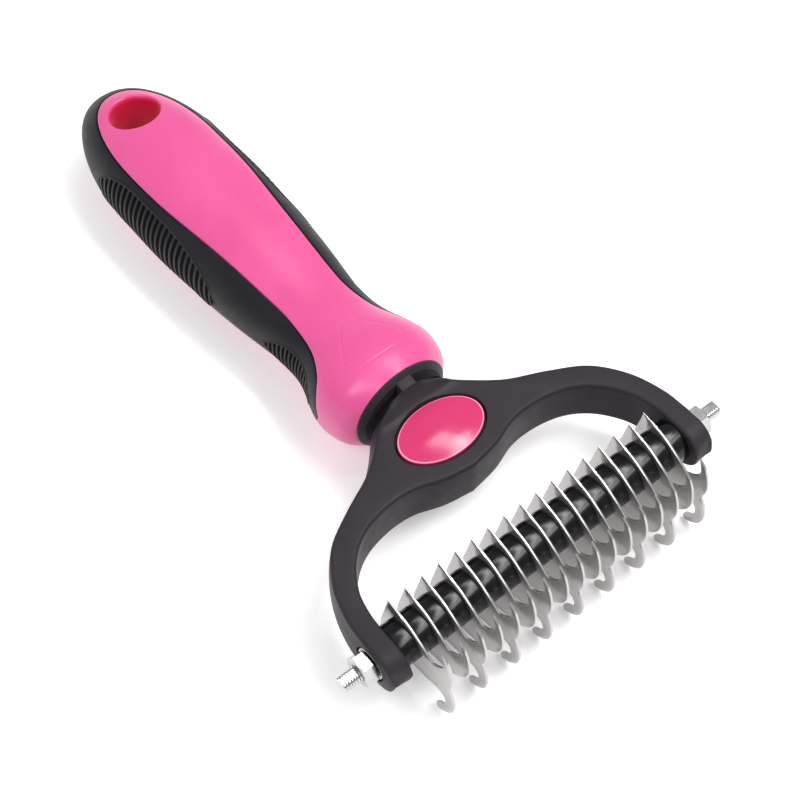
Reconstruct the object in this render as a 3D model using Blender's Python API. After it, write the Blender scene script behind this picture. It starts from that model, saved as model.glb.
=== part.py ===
"""Undercoat rake: a two-sided pet grooming rake with a soft-grip handle.

A steel axle carries seventeen keyed blades and their spacer sleeves between the two arms of a
moulded head frame. A lock nut and a washer hold each end of the axle. The frame's neck ends in a
barbed tang that is driven into the handle, and a soft overmoulded band wraps the handle's sides
and its rear end.

Sizes are in millimetres and become metres when a mesh is made. They are measured from the middle
of the axle: X runs along the axle, Y runs from the blades to the handle's rear end, and Z is up.
"""

import math

import bmesh
import bpy
import numpy as np
from mathutils import Vector

MM = 0.001
GAP = 0.3                       # clearance between touching pieces

# Where the axle's middle is, from the point under the middle of the whole tool
AXLE_Y = -77.0
AXLE_Z = 15.9

# Axle, nuts and washers
AXLE_HALF_LENGTH = 55.7
AXLE_RADIUS = 2.0
AXLE_HALF_FLATS = 1.6           # half the distance between the axle's two flats
NUT_ACROSS_FLATS = 7.0
NUT_THICKNESS = 3.2
WASHER_RADIUS = 4.05
WASHER_THICKNESS = 0.8
ROUND_SIDES = 20
CUT_REACH = 60.0                # cutters end this far out, past every piece they meet

# Blade pack
BLADE_COUNT = 17
BLADE_PITCH = 4.7
BLADE_THICKNESS = 0.6
SPACER_RADIUS = 5.4

# Head frame
PLATE_HALF_HEIGHT = 6.2
PLATE_EDGE_ROUND = 0.9
ARM_INNER_X = 42.1
ARM_OUTER_X = 47.9
ARM_NOSE_Y = -1.5               # centre of the round end of each arm, seen from the side
ARM_NOSE_RADIUS = 6.3
ARM_CORNER_RADIUS = 2.0
NUT_POCKET_RADIUS = 4.45
NUT_POCKET_DEPTH = 1.4
NECK_FRONT_Y = 44.3             # front wall of the two slots in the neck
NECK_REAR_Y = 46.5              # rear wall of the slots
NECK_CORE_RADIUS = 6.6
NECK_WEB_HALF_WIDTH = 2.0
COLLAR_RADIUS = 13.0
COLLAR_REAR_Y = 47.5
TANG_END_Y = 82.0
TANG_SQUARENESS = 4.0
TANG_BARB_STEP = 0.6

# Badge on the head frame
BADGE_Y = 33.1
BADGE_HALF_X = 11.4
BADGE_HALF_Y = 7.45
BADGE_GROOVE = 0.6
BADGE_BASE_Z = 5.0
BADGE_RIM_Z = 6.3
BADGE_CROWN = 0.9
BADGE_PEG_X = 6.0
BADGE_PEG_RADIUS = 1.0
BADGE_PEG_LENGTH = 2.5

# Handle
HANDLE_FRONT_Y = 47.8
HANDLE_END_Y = 170.5
HANDLE_ROUND_Y = 136.5          # the rear end is round from here on
HANDLE_SQUARENESS = 2.2         # exponent of the handle's section, where 2 is an ellipse
REAR_SQUARENESS = 2.1           # the same for the rear end's outline seen from above
HANDLE_SIDES = 28
HOLE_Y = 153.0
HOLE_RADIUS = 6.2
HOLE_RIM_RADIUS = 7.15
HOLE_RIM_DEPTH = 2.5
HOLE_TOP_Z = 11.2               # where the hole's rim meets the handle's top and underside
HOLE_UNDER_Z = -14.4
GRIP_DEPTH = 2.2
GRIP_TIP_DEPTH = 0.9
GRIP_TIP_Y = 57.5
GRIP_FULL_Y = 66.0              # the grip has its full depth behind here
GRIP_END_Y = 164.0              # rear end of the bare strip on top of the handle

# Guide stations of the handle: Y, half width, half height, height of the section's middle
HANDLE_STATIONS = [
    (HANDLE_FRONT_Y, 13.0, 12.9, 0.0),
    (49.2, 14.6, 13.5, -0.4),
    (52.0, 16.1, 14.1, -0.6),
    (57.0, 16.9, 14.3, -0.9),
    (62.0, 15.8, 13.5, -1.0),
    (68.0, 13.7, 11.9, -1.0),
    (76.0, 12.9, 10.8, -1.2),
    (86.0, 14.1, 11.2, -1.3),
    (98.0, 15.6, 12.4, -1.3),
    (110.0, 16.5, 13.3, -1.3),
    (124.0, 17.1, 14.2, -1.4),
    (HANDLE_ROUND_Y, 16.9, 14.3, -1.4),
]
# Guide points of the line between the bare strip and the grip: Y, half width of the strip
STRIP_GUIDES = [
    (GRIP_TIP_Y, 16.6),
    (62.0, 13.0),
    (68.0, 9.9),
    (74.0, 8.6),
    (80.0, 8.1),
    (86.0, 8.4),
    (98.0, 9.4),
    (110.0, 10.6),
    (124.0, 12.0),
    (HANDLE_ROUND_Y, 12.3),
]
# Guide points of one half of the head frame's outline: X, Y
FRAME_OUTER_GUIDES = [
    (10.5, 43.0),
    (14.0, 41.3),
    (20.0, 36.5),
    (30.0, 30.1),
    (38.6, 24.9),
    (44.4, 17.2),
    (47.2, 8.8),
    (ARM_OUTER_X, 2.0),
]
FRAME_INNER_GUIDES = [
    (ARM_INNER_X, 2.0),
    (41.7, 7.0),
    (40.0, 13.0),
    (35.6, 19.2),
    (29.8, 23.2),
    (22.5, 25.0),
    (15.0, 24.8),
    (7.8, 22.4),
    (0.0, 21.1),
]


# ---- curves ------------------------------------------------------------------------------------

def smooth_curve(guides, steps):
    """Catmull-Rom curve through the guide points, with a number of steps between two guides."""
    points = [np.array(guide, dtype=float) for guide in guides]
    first = 2 * points[0] - points[1]
    last = 2 * points[-1] - points[-2]
    row = [first] + points + [last]
    curve = []
    for index in range(1, len(row) - 2):
        before, start, end, after = row[index - 1:index + 3]
        for step in range(steps):
            t = step / steps
            linear = (end - before) * t
            square = (2 * before - 5 * start + 4 * end - after) * t ** 2
            cube = (3 * start - before - 3 * end + after) * t ** 3
            curve.append(0.5 * (2 * start + linear + square + cube))
    curve.append(points[-1])
    return curve


def arc(centre, radius, start, end, steps):
    """Points of an arc, in degrees, both ends included."""
    points = []
    for step in range(steps + 1):
        angle = math.radians(start + (end - start) * step / steps)
        x = centre[0] + radius * math.cos(angle)
        y = centre[1] + radius * math.sin(angle)
        points.append((x, y))
    return points


def double_d(radius, half_flats):
    """Round outline with two flats, above and below its centre."""
    spread = math.degrees(math.asin(half_flats / radius))
    side_steps = 4
    front = arc((0, 0), radius, 180 - spread, 180 + spread, side_steps)
    rear = arc((0, 0), radius, -spread, spread, side_steps)
    return front + rear


# ---- objects -----------------------------------------------------------------------------------

def remove_everything():
    for old in list(bpy.data.objects):
        bpy.data.objects.remove(old, do_unlink=True)


def principled(name, colour, roughness, metallic=0.0):
    material = bpy.data.materials.new(name)
    material.use_nodes = True
    shader = material.node_tree.nodes["Principled BSDF"]
    shader.inputs["Base Color"].default_value = (*colour, 1.0)
    shader.inputs["Roughness"].default_value = roughness
    shader.inputs["Metallic"].default_value = metallic
    material.diffuse_color = (*colour, 1.0)
    return material


def add_object(name, mesh, parent, material=None, location=(0, 0, 0)):
    item = bpy.data.objects.new(name, mesh)
    item.location = Vector(location) * MM
    item.parent = parent
    if material is not None and not mesh.materials:
        mesh.materials.append(material)
    bpy.context.collection.objects.link(item)
    return item


def as_cutter(item):
    item.hide_render = True
    item.display_type = "WIRE"
    return item


def cut(item, other, operation="DIFFERENCE"):
    """Take another object away from this one, join it on, or keep what they share."""
    modifier = item.modifiers.new(operation.lower() + " " + other.name, "BOOLEAN")
    modifier.operation = operation
    modifier.solver = "EXACT"
    modifier.object = other
    as_cutter(other)


def finish_mesh(name, bm, smooth_angle=30):
    bmesh.ops.recalc_face_normals(bm, faces=bm.faces)
    mesh = bpy.data.meshes.new(name)
    bm.to_mesh(mesh)
    bm.free()
    mesh.shade_smooth()
    mesh.set_sharp_from_angle(angle=math.radians(smooth_angle))
    return mesh


# ---- shapes ------------------------------------------------------------------------------------

def loft(name, rings):
    """Closed body through rings of equally many points, with a flat face over each end ring."""
    bm = bmesh.new()
    rows = [[bm.verts.new(Vector(point) * MM) for point in ring] for ring in rings]
    count = len(rows[0])
    for row, following in zip(rows, rows[1:]):
        for index in range(count):
            after = (index + 1) % count
            bm.faces.new((row[index], row[after], following[after], following[index]))
    bm.faces.new(rows[0])
    bm.faces.new(rows[-1])
    return finish_mesh(name, bm)


def prism(name, outlines, low, high, place):
    """Plate between two levels, from an outline and its holes.

    place turns an outline's two numbers and a level into X, Y and Z.
    """
    bm = bmesh.new()
    edges = []
    for outline in outlines:
        corners = [bm.verts.new(Vector(place(a, b, low)) * MM) for a, b in outline]
        for corner, following in zip(corners, corners[1:] + corners[:1]):
            edges.append(bm.edges.new((corner, following)))
    if len(outlines) == 1:
        bm.faces.new(list(bm.verts))
    else:
        bmesh.ops.triangle_fill(bm, edges=edges, use_beauty=True)
    base = list(bm.faces)
    grown = bmesh.ops.extrude_face_region(bm, geom=base, use_keep_orig=True)
    moved = [part for part in grown["geom"] if isinstance(part, bmesh.types.BMVert)]
    travel = Vector(place(0, 0, high)) - Vector(place(0, 0, low))
    bmesh.ops.translate(bm, verts=moved, vec=travel * MM)
    return finish_mesh(name, bm)


def along_x(y, z, level):
    return (level, y, z)


def along_y(x, z, level):
    return (x, level, z)


def along_z(x, y, level):
    return (x, y, level)


def turned_x(name, profile, sides=ROUND_SIDES):
    """Ring turned about the X axis from a closed profile of (X, radius) points."""
    bm = bmesh.new()
    rows = []
    for side in range(sides):
        angle = 2 * math.pi * side / sides
        row = []
        for x, radius in profile:
            point = Vector((x, radius * math.cos(angle), radius * math.sin(angle)))
            row.append(bm.verts.new(point * MM))
        rows.append(row)
    for row, following in zip(rows, rows[1:] + rows[:1]):
        for index in range(len(profile)):
            after = (index + 1) % len(profile)
            bm.faces.new((row[index], row[after], following[after], following[index]))
    return finish_mesh(name, bm)


def round_ring(y, half_x, half_z, middle_z=0.0, sides=HANDLE_SIDES, power=2.0):
    """Section of a lofted body at one Y: an ellipse, or squarer with a higher power."""
    ring = []
    for side in range(sides):
        angle = 2 * math.pi * side / sides
        across = math.cos(angle)
        up = math.sin(angle)
        x = half_x * math.copysign(abs(across) ** (2 / power), across)
        z = half_z * math.copysign(abs(up) ** (2 / power), up)
        ring.append((x, y, middle_z + z))
    return ring


# ---- blade pack --------------------------------------------------------------------------------

def blade_outline(is_long):
    """Outline of a blade seen along the axle, as (Y, Z) points.

    The upper tooth points up and back. A long blade also has a hooked lower tooth under its
    chin, and a short one ends in the chin.
    """
    upper_tooth = smooth_curve([(-8.9, 1.6), (-11.3, 3.5), (-12.8, 6.6), (-11.9, 10.6)], 3)
    top_edge = smooth_curve([(6.2, 8.2), (2.6, 7.5), (-1.4, 6.3), (-5.4, 4.1), (-8.9, 1.6)], 2)
    front_edge = [(-11.9, 10.6), (-13.9, 8.6), (-15.2, 5.2), (-15.5, 1.4)]
    if is_long:
        chin = smooth_curve(front_edge + [(-14.6, -2.2)], 2)
        tooth_front = [(-14.6, -2.2), (-15.9, -4.8), (-16.5, -8.2), (-15.8, -12.0)]
        tooth_front += [(-13.6, -14.6), (-11.4, -15.9)]
        tooth_rear = [(-11.4, -15.9), (-10.7, -14.5), (-11.5, -12.9), (-13.1, -11.4)]
        tooth_rear += [(-13.8, -9.2), (-12.9, -7.3), (-10.8, -6.8), (-7.6, -7.8)]
        front = chin[:-1] + smooth_curve(tooth_front, 2)[:-1] + smooth_curve(tooth_rear, 2)
    else:
        front = smooth_curve(front_edge + [(-14.5, -2.4), (-11.6, -5.8), (-7.6, -7.8)], 2)
    under_edge = smooth_curve([(-7.6, -7.8), (-3.0, -8.5), (3.0, -8.6), (8.6, -6.6)], 2)
    rear_edge = smooth_curve([(8.6, -6.6), (8.1, -2.0), (7.0, 3.3), (6.2, 8.2)], 2)
    outline = top_edge[:-1] + upper_tooth[:-1] + front[:-1] + under_edge[:-1] + rear_edge[:-1]
    return [(float(y), float(z)) for y, z in outline]


def blade_mesh(name, is_long):
    hole = double_d(AXLE_RADIUS + GAP, AXLE_HALF_FLATS + GAP)
    half = BLADE_THICKNESS / 2
    return prism(name, [blade_outline(is_long), hole], -half, half, along_x)


def spacer_mesh(name, length):
    half = length / 2
    bore = AXLE_RADIUS + GAP
    profile = [(-half, bore), (-half, SPACER_RADIUS), (half, SPACER_RADIUS), (half, bore)]
    return turned_x(name, profile)


def build_blade_pack(parent, steel, sleeve_plastic):
    """Blades on the even places are long, and the rows between them are short."""
    long_mesh = blade_mesh("long_blade", True)
    short_mesh = blade_mesh("short_blade", False)
    between = spacer_mesh("spacer", BLADE_PITCH - BLADE_THICKNESS - 2 * GAP)
    middle = (BLADE_COUNT - 1) / 2
    for place in range(BLADE_COUNT):
        x = (place - middle) * BLADE_PITCH
        number = place // 2 + 1
        if place % 2 == 0:
            add_object(f"long_blade_{number}", long_mesh, parent, steel, (x, 0, 0))
        else:
            add_object(f"short_blade_{number}", short_mesh, parent, steel, (x, 0, 0))
        if place < BLADE_COUNT - 1:
            spacer_x = x + BLADE_PITCH / 2
            name = f"spacer_{place + 1:02d}"
            add_object(name, between, parent, sleeve_plastic, (spacer_x, 0, 0))
    outer_blade_face = middle * BLADE_PITCH + BLADE_THICKNESS / 2
    end_length = ARM_INNER_X - outer_blade_face - 2 * GAP
    end_mesh = spacer_mesh("end_spacer", end_length)
    end_x = (ARM_INNER_X + outer_blade_face) / 2
    add_object("end_spacer_left", end_mesh, parent, sleeve_plastic, (-end_x, 0, 0))
    add_object("end_spacer_right", end_mesh, parent, sleeve_plastic, (end_x, 0, 0))


# ---- axle and fasteners ------------------------------------------------------------------------

def build_axle(parent, steel):
    rod = double_d(AXLE_RADIUS, AXLE_HALF_FLATS)
    mesh = prism("axle", [rod], -AXLE_HALF_LENGTH, AXLE_HALF_LENGTH, along_x)
    add_object("axle", mesh, parent, steel)


def build_fasteners(parent, zinc):
    """A washer in each arm's pocket and a hexagon nut on it, at both ends of the axle."""
    bore = AXLE_RADIUS + GAP
    washer_half = WASHER_THICKNESS / 2
    washer_profile = [(-washer_half, bore), (-washer_half, WASHER_RADIUS)]
    washer_profile += [(washer_half, WASHER_RADIUS), (washer_half, bore)]
    washer = turned_x("washer", washer_profile)
    corner_radius = NUT_ACROSS_FLATS / 2 / math.cos(math.radians(30))
    hexagon = arc((0, 0), corner_radius, 30, 330, 5)
    nut_half = NUT_THICKNESS / 2
    threaded_hole = arc((0, 0), bore, 0, 337.5, 15)
    nut = prism("nut", [hexagon, threaded_hole], -nut_half, nut_half, along_x)
    washer_x = ARM_OUTER_X - NUT_POCKET_DEPTH + GAP + washer_half
    nut_x = washer_x + washer_half + GAP + nut_half
    for side, name in ((-1, "left"), (1, "right")):
        add_object(f"washer_{name}", washer, parent, zinc, (side * washer_x, 0, 0))
        add_object(f"nut_{name}", nut, parent, zinc, (side * nut_x, 0, 0))


# ---- head frame --------------------------------------------------------------------------------

def frame_outline():
    """Closed outline of the bow and its two arms, seen from above."""
    outer = smooth_curve(FRAME_OUTER_GUIDES, 3)
    nose_y = ARM_NOSE_Y - ARM_NOSE_RADIUS - 0.5
    corner_centre = (ARM_OUTER_X - ARM_CORNER_RADIUS, nose_y + ARM_CORNER_RADIUS)
    corner = arc(corner_centre, ARM_CORNER_RADIUS, 0, -90, 4)
    inner = smooth_curve(FRAME_INNER_GUIDES, 3)
    half = [tuple(point) for point in outer] + corner + [(ARM_INNER_X, nose_y)]
    half += [tuple(point) for point in inner]
    mirrored = [(-x, y) for x, y in reversed(half[:-1])]
    return [(float(x), float(y)) for x, y in half + mirrored]


def arm_nose_profile():
    """Side view, as (Y, Z), that rounds the ends of the arms and clears the rest of the frame."""
    nose = arc((ARM_NOSE_Y, 0), ARM_NOSE_RADIUS, 270, 90, 10)
    clear_z = ARM_NOSE_RADIUS + 2
    clear_y = ARM_NOSE_Y + 5
    rear = [(CUT_REACH, clear_z), (CUT_REACH, -clear_z)]
    return nose + [(clear_y, clear_z)] + rear + [(clear_y, -clear_z)]


def tang_sections(clearance=0.0):
    """Sections of the barbed tang, as Y, half width and half height, behind the collar."""
    sections = [(COLLAR_REAR_Y, 6.8, 5.2)]
    for barb_y in (58.0, 68.0):
        sections.append((barb_y, 6.7, 5.1))
        sections.append((barb_y + 0.2, 6.7 + TANG_BARB_STEP, 5.1 + TANG_BARB_STEP))
        sections.append((barb_y + 3.0, 6.6, 5.0))
    sections.append((TANG_END_Y - 1.5, 6.3, 4.8))
    sections.append((TANG_END_Y, 5.3, 3.8))
    return [(y, half_x + clearance, half_z + clearance) for y, half_x, half_z in sections]


def build_neck(parent):
    """The round neck that grows out of the flat bow, its collar and the tang."""
    cove_start = 40.6
    cove_end = NECK_FRONT_Y - 0.1
    rings = [round_ring(36.0, 13.0, 4.5), round_ring(cove_start, 14.0, 5.6)]
    for step in range(1, 6):
        t = step / 5
        y = cove_start + (cove_end - cove_start) * t
        half_x = 14.2 - 2.4 * t
        half_z = 6.1 + 5.5 * t ** 1.8
        rings.append(round_ring(y, half_x, half_z))
    rings.append(round_ring(NECK_REAR_Y + 0.1, 11.8, 11.7))
    rings.append(round_ring(COLLAR_REAR_Y - 0.4, COLLAR_RADIUS - 0.2, COLLAR_RADIUS - 0.3))
    rings.append(round_ring(COLLAR_REAR_Y, COLLAR_RADIUS, COLLAR_RADIUS - 0.1))
    for y, half_x, half_z in tang_sections():
        rings.append(round_ring(y, half_x, half_z, power=TANG_SQUARENESS))
    return add_object("neck_union", loft("neck_union", rings), parent)


def neck_slot_outline(side):
    """Half ring between the neck's core and the air, as (X, Z), leaving the middle web."""
    air_radius = 20.0
    core_spread = math.degrees(math.acos(NECK_WEB_HALF_WIDTH / NECK_CORE_RADIUS))
    air_spread = math.degrees(math.acos(NECK_WEB_HALF_WIDTH / air_radius))
    outside = arc((0, 0), air_radius, -air_spread, air_spread, 12)
    inside = arc((0, 0), NECK_CORE_RADIUS, core_spread, -core_spread, 10)
    return [(side * x, z) for x, z in outside + inside]


def ellipse(centre, half_x, half_y, sides):
    points = []
    for side in range(sides):
        angle = 2 * math.pi * side / sides
        x = centre[0] + half_x * math.cos(angle)
        y = centre[1] + half_y * math.sin(angle)
        points.append((x, y))
    return points


def build_head_frame(parent, plastic):
    outline = frame_outline()
    mesh = prism("head_frame", [outline], -PLATE_HALF_HEIGHT, PLATE_HALF_HEIGHT, along_z)
    frame = add_object("head_frame", mesh, parent, plastic)
    edge = frame.modifiers.new("round edges", "BEVEL")
    edge.width = PLATE_EDGE_ROUND * MM
    edge.segments = 2
    edge.limit_method = "ANGLE"
    edge.angle_limit = math.radians(40)

    nose_mesh = prism("arm_nose", [arm_nose_profile()], -CUT_REACH, CUT_REACH, along_x)
    cut(frame, add_object("arm_nose", nose_mesh, parent), "INTERSECT")
    cut(frame, build_neck(parent), "UNION")
    for side, name in ((-1, "left"), (1, "right")):
        slot = prism(f"neck_slot_{name}", [neck_slot_outline(side)], NECK_FRONT_Y, NECK_REAR_Y, along_y)
        cut(frame, add_object(f"neck_slot_{name}", slot, parent))
        pocket_floor = side * (ARM_OUTER_X - NUT_POCKET_DEPTH)
        pocket_circle = ellipse((0, 0), NUT_POCKET_RADIUS, NUT_POCKET_RADIUS, ROUND_SIDES)
        pocket_end = side * CUT_REACH
        pocket = prism(f"nut_pocket_{name}", [pocket_circle], pocket_floor, pocket_end, along_x)
        cut(frame, add_object(f"nut_pocket_{name}", pocket, parent))
        peg_hole = ellipse((side * BADGE_PEG_X, BADGE_Y), BADGE_PEG_RADIUS + GAP,
                           BADGE_PEG_RADIUS + GAP, 12)
        hole_floor = BADGE_BASE_Z - BADGE_PEG_LENGTH - 2 * GAP
        peg_cut = prism(f"peg_hole_{name}", [peg_hole], hole_floor, BADGE_BASE_Z, along_z)
        cut(frame, add_object(f"peg_hole_{name}", peg_cut, parent))
    bore = double_d(AXLE_RADIUS + GAP, AXLE_HALF_FLATS + GAP)
    bore_mesh = prism("axle_bore", [bore], -CUT_REACH, CUT_REACH, along_x)
    cut(frame, add_object("axle_bore", bore_mesh, parent))
    seat = ellipse((0, BADGE_Y), BADGE_HALF_X + BADGE_GROOVE, BADGE_HALF_Y + BADGE_GROOVE, 40)
    seat_mesh = prism("badge_seat", [seat], BADGE_BASE_Z - GAP, 12, along_z)
    cut(frame, add_object("badge_seat", seat_mesh, parent))


def build_badge(parent, plastic):
    """Domed oval with two pegs underneath."""
    sides = 40
    levels = [(1.0, BADGE_BASE_Z), (1.0, BADGE_RIM_Z - 0.4), (0.975, BADGE_RIM_Z)]
    for scale in (0.85, 0.65, 0.4, 0.15):
        levels.append((scale, BADGE_RIM_Z + BADGE_CROWN * (1 - scale ** 2)))
    rings = []
    for scale, z in levels:
        oval = ellipse((0, BADGE_Y), BADGE_HALF_X * scale, BADGE_HALF_Y * scale, sides)
        rings.append([(x, y, z) for x, y in oval])
    badge = add_object("badge", loft("badge", rings), parent, plastic)
    for side, name in ((-1, "left"), (1, "right")):
        circle = ellipse((side * BADGE_PEG_X, BADGE_Y), BADGE_PEG_RADIUS, BADGE_PEG_RADIUS, 12)
        peg_end = BADGE_BASE_Z - BADGE_PEG_LENGTH
        peg = prism(f"badge_peg_{name}", [circle], peg_end, BADGE_BASE_Z + 0.5, along_z)
        cut(badge, add_object(f"badge_peg_{name}", peg, parent), "UNION")


# ---- handle ------------------------------------------------------------------------------------

STATION_CURVE = np.array(smooth_curve(HANDLE_STATIONS, 12))


def rear_rounding(y, power):
    """1 along the handle, falling to 0 at its rear end."""
    t = (y - HANDLE_ROUND_Y) / (HANDLE_END_Y - HANDLE_ROUND_Y)
    t = min(max(t, 0.0), 0.9998)
    return (1 - t ** power) ** (1 / power)


def handle_section(y):
    """Half width, half height and middle height of the handle at one Y."""
    half_x, half_z, middle_z = (np.interp(y, STATION_CURVE[:, 0], STATION_CURVE[:, column])
                                for column in (1, 2, 3))
    return half_x * rear_rounding(y, REAR_SQUARENESS), half_z * rear_rounding(y, 2.0), middle_z


def handle_height(x, y):
    """Height of the handle's surface above the middle of its section."""
    half_x, half_z = handle_section(y)[:2]
    share = min(abs(x) / half_x, 1.0)
    return half_z * (1 - share ** HANDLE_SQUARENESS) ** (1 / HANDLE_SQUARENESS)


def handle_rings():
    front = HANDLE_STATIONS[0][0]
    stations = [station[0] for station in HANDLE_STATIONS]
    ys = []
    for start, end in zip(stations, stations[1:]):
        ys += [start, (start + end) / 2]
    for degrees in (0, 12, 24, 36, 47, 57, 66, 74, 81, 86):
        ys.append(HANDLE_ROUND_Y + (HANDLE_END_Y - HANDLE_ROUND_Y) * math.sin(math.radians(degrees)))
    rings = []
    for y in ys:
        half_x, half_z, middle_z = handle_section(y)
        power = 2.0 if y == front else HANDLE_SQUARENESS
        rings.append(round_ring(y, half_x, half_z, middle_z, power=power))
    return rings


def grip_stations(boundary_shift, tip_shift):
    """Plan points along the U of the grip: on the strip's edge and on the handle's outline."""
    strip = np.array(smooth_curve(STRIP_GUIDES, 12))
    tip = GRIP_TIP_Y - tip_shift
    side_ys = list(np.linspace(tip, 72.0, 7)) + list(np.linspace(77.0, HANDLE_ROUND_Y, 9))
    right = []
    for y in side_ys:
        edge_x = np.interp(y, strip[:, 0], strip[:, 1]) - boundary_shift
        right.append(((edge_x, y), (handle_section(y)[0], y)))
    strip_half = STRIP_GUIDES[-1][1] - boundary_shift
    strip_end = GRIP_END_Y - boundary_shift - HANDLE_ROUND_Y
    handle_half = handle_section(HANDLE_ROUND_Y)[0]
    handle_end = HANDLE_END_Y - HANDLE_ROUND_Y
    corner = 2 / REAR_SQUARENESS
    for step in range(1, 9):
        angle = math.radians(90 * step / 9)
        across = math.cos(angle) ** corner
        back = math.sin(angle) ** corner
        edge = (strip_half * across, HANDLE_ROUND_Y + strip_end * back)
        rim = (handle_half * across, HANDLE_ROUND_Y + handle_end * back)
        right.append((edge, rim))
    middle = ((0.0, HANDLE_ROUND_Y + strip_end), (0.0, HANDLE_END_Y))
    left = [((-edge[0], edge[1]), (-rim[0], rim[1])) for edge, rim in reversed(right)]
    return right + [middle] + left


def grip_rings(boundary_shift=0.0, proud=0.0, deeper=0.0, tip_shift=0.0):
    """C-shaped sections round the handle's sides and rear end, from one tip to the other."""
    outer_steps = 4
    stations = grip_stations(boundary_shift, tip_shift)
    skin = []
    depths = []
    for edge, rim in stations:
        row = []
        for step in range(-outer_steps, outer_steps + 1):
            share = math.cos(math.radians(90 * step / outer_steps))
            x = edge[0] + (rim[0] - edge[0]) * share
            y = edge[1] + (rim[1] - edge[1]) * share
            middle_z = handle_section(y)[2]
            height = 0.0 if step == 0 else math.copysign(handle_height(x, y), step)
            row.append((x, y, middle_z + height))
        skin.append(row)
        fade = min(max((edge[1] - GRIP_TIP_Y) / (GRIP_FULL_Y - GRIP_TIP_Y), 0.0), 1.0)
        depths.append(GRIP_TIP_DEPTH + (GRIP_DEPTH - GRIP_TIP_DEPTH) * fade + deeper)
    skin = np.array(skin)
    along = np.gradient(skin, axis=0)
    across = np.gradient(skin, axis=1)
    outward = np.cross(along, across)
    outward /= np.linalg.norm(outward, axis=2, keepdims=True)
    rings = []
    for row, normals, depth in zip(skin, outward, depths):
        outside = row + proud * normals
        inside = row - depth * normals
        rings.append([tuple(point) for point in outside] + [tuple(point) for point in inside[::-2]])
    return rings


def hole_rings():
    """Cutter of the hanging hole, flared into a round rim at both faces."""
    flare = HOLE_RIM_RADIUS - HOLE_RADIUS
    outside = 6.0
    upper = [(HOLE_TOP_Z + outside, HOLE_RIM_RADIUS + 2), (HOLE_TOP_Z, HOLE_RIM_RADIUS)]
    lower = [(HOLE_UNDER_Z - outside, HOLE_RIM_RADIUS + 2), (HOLE_UNDER_Z, HOLE_RIM_RADIUS)]
    for degrees in (20, 50, 90):
        turn = math.sin(math.radians(degrees))
        radius = HOLE_RADIUS + flare * (1 - turn)
        upper.append((HOLE_TOP_Z - HOLE_RIM_DEPTH * turn, radius))
        lower.append((HOLE_UNDER_Z + HOLE_RIM_DEPTH * turn, radius))
    levels = lower + upper[::-1]
    rings = []
    for z, radius in levels:
        circle = ellipse((0, HOLE_Y), radius, radius, ROUND_SIDES)
        rings.append([(x, y, z) for x, y in circle])
    return rings


def build_handle(parent, hard_plastic, soft_rubber):
    core = add_object("handle_core", loft("handle_core", handle_rings()), parent, hard_plastic)
    recess = loft("grip_recess", grip_rings(GAP, 1.5, GAP, GAP))
    cut(core, add_object("grip_recess", recess, parent))
    cut(core, add_object("hanging_hole", loft("hanging_hole", hole_rings()), parent))
    socket_sections = [(HANDLE_FRONT_Y - 3, 7.1, 5.5)] + tang_sections(GAP)[1:]
    socket_sections.append((TANG_END_Y + 1.0, 4.5, 3.2))
    rings = []
    for y, half_x, half_z in socket_sections:
        rings.append(round_ring(y, half_x, half_z, power=TANG_SQUARENESS))
    cut(core, add_object("tang_socket", loft("tang_socket", rings), parent))
    grip = loft("grip_overmould", grip_rings())
    add_object("grip_overmould", grip, parent, soft_rubber)


# ---- assembly ----------------------------------------------------------------------------------

def build():
    remove_everything()
    pink = principled("pink_plastic", (0.93, 0.13, 0.36), 0.38)
    badge_pink = principled("badge_plastic", (0.78, 0.05, 0.20), 0.18)
    rubber = principled("black_rubber", (0.022, 0.024, 0.026), 0.55)
    frame_plastic = principled("frame_plastic", (0.045, 0.043, 0.048), 0.42)
    sleeve_plastic = principled("sleeve_plastic", (0.012, 0.012, 0.015), 0.16)
    blade_steel = principled("blade_steel", (0.60, 0.59, 0.58), 0.30, 1.0)
    zinc = principled("zinc_steel", (0.78, 0.78, 0.77), 0.25, 1.0)

    tool = bpy.data.objects.new("axle_middle", None)
    tool.location = Vector((0, AXLE_Y, AXLE_Z)) * MM
    bpy.context.collection.objects.link(tool)

    build_handle(tool, pink, rubber)
    build_head_frame(tool, frame_plastic)
    build_badge(tool, badge_pink)
    build_axle(tool, zinc)
    build_blade_pack(tool, blade_steel, sleeve_plastic)
    build_fasteners(tool, zinc)


build()
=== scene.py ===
import math

import bmesh
import bpy
import numpy as np
from mathutils import Matrix, Vector


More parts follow.
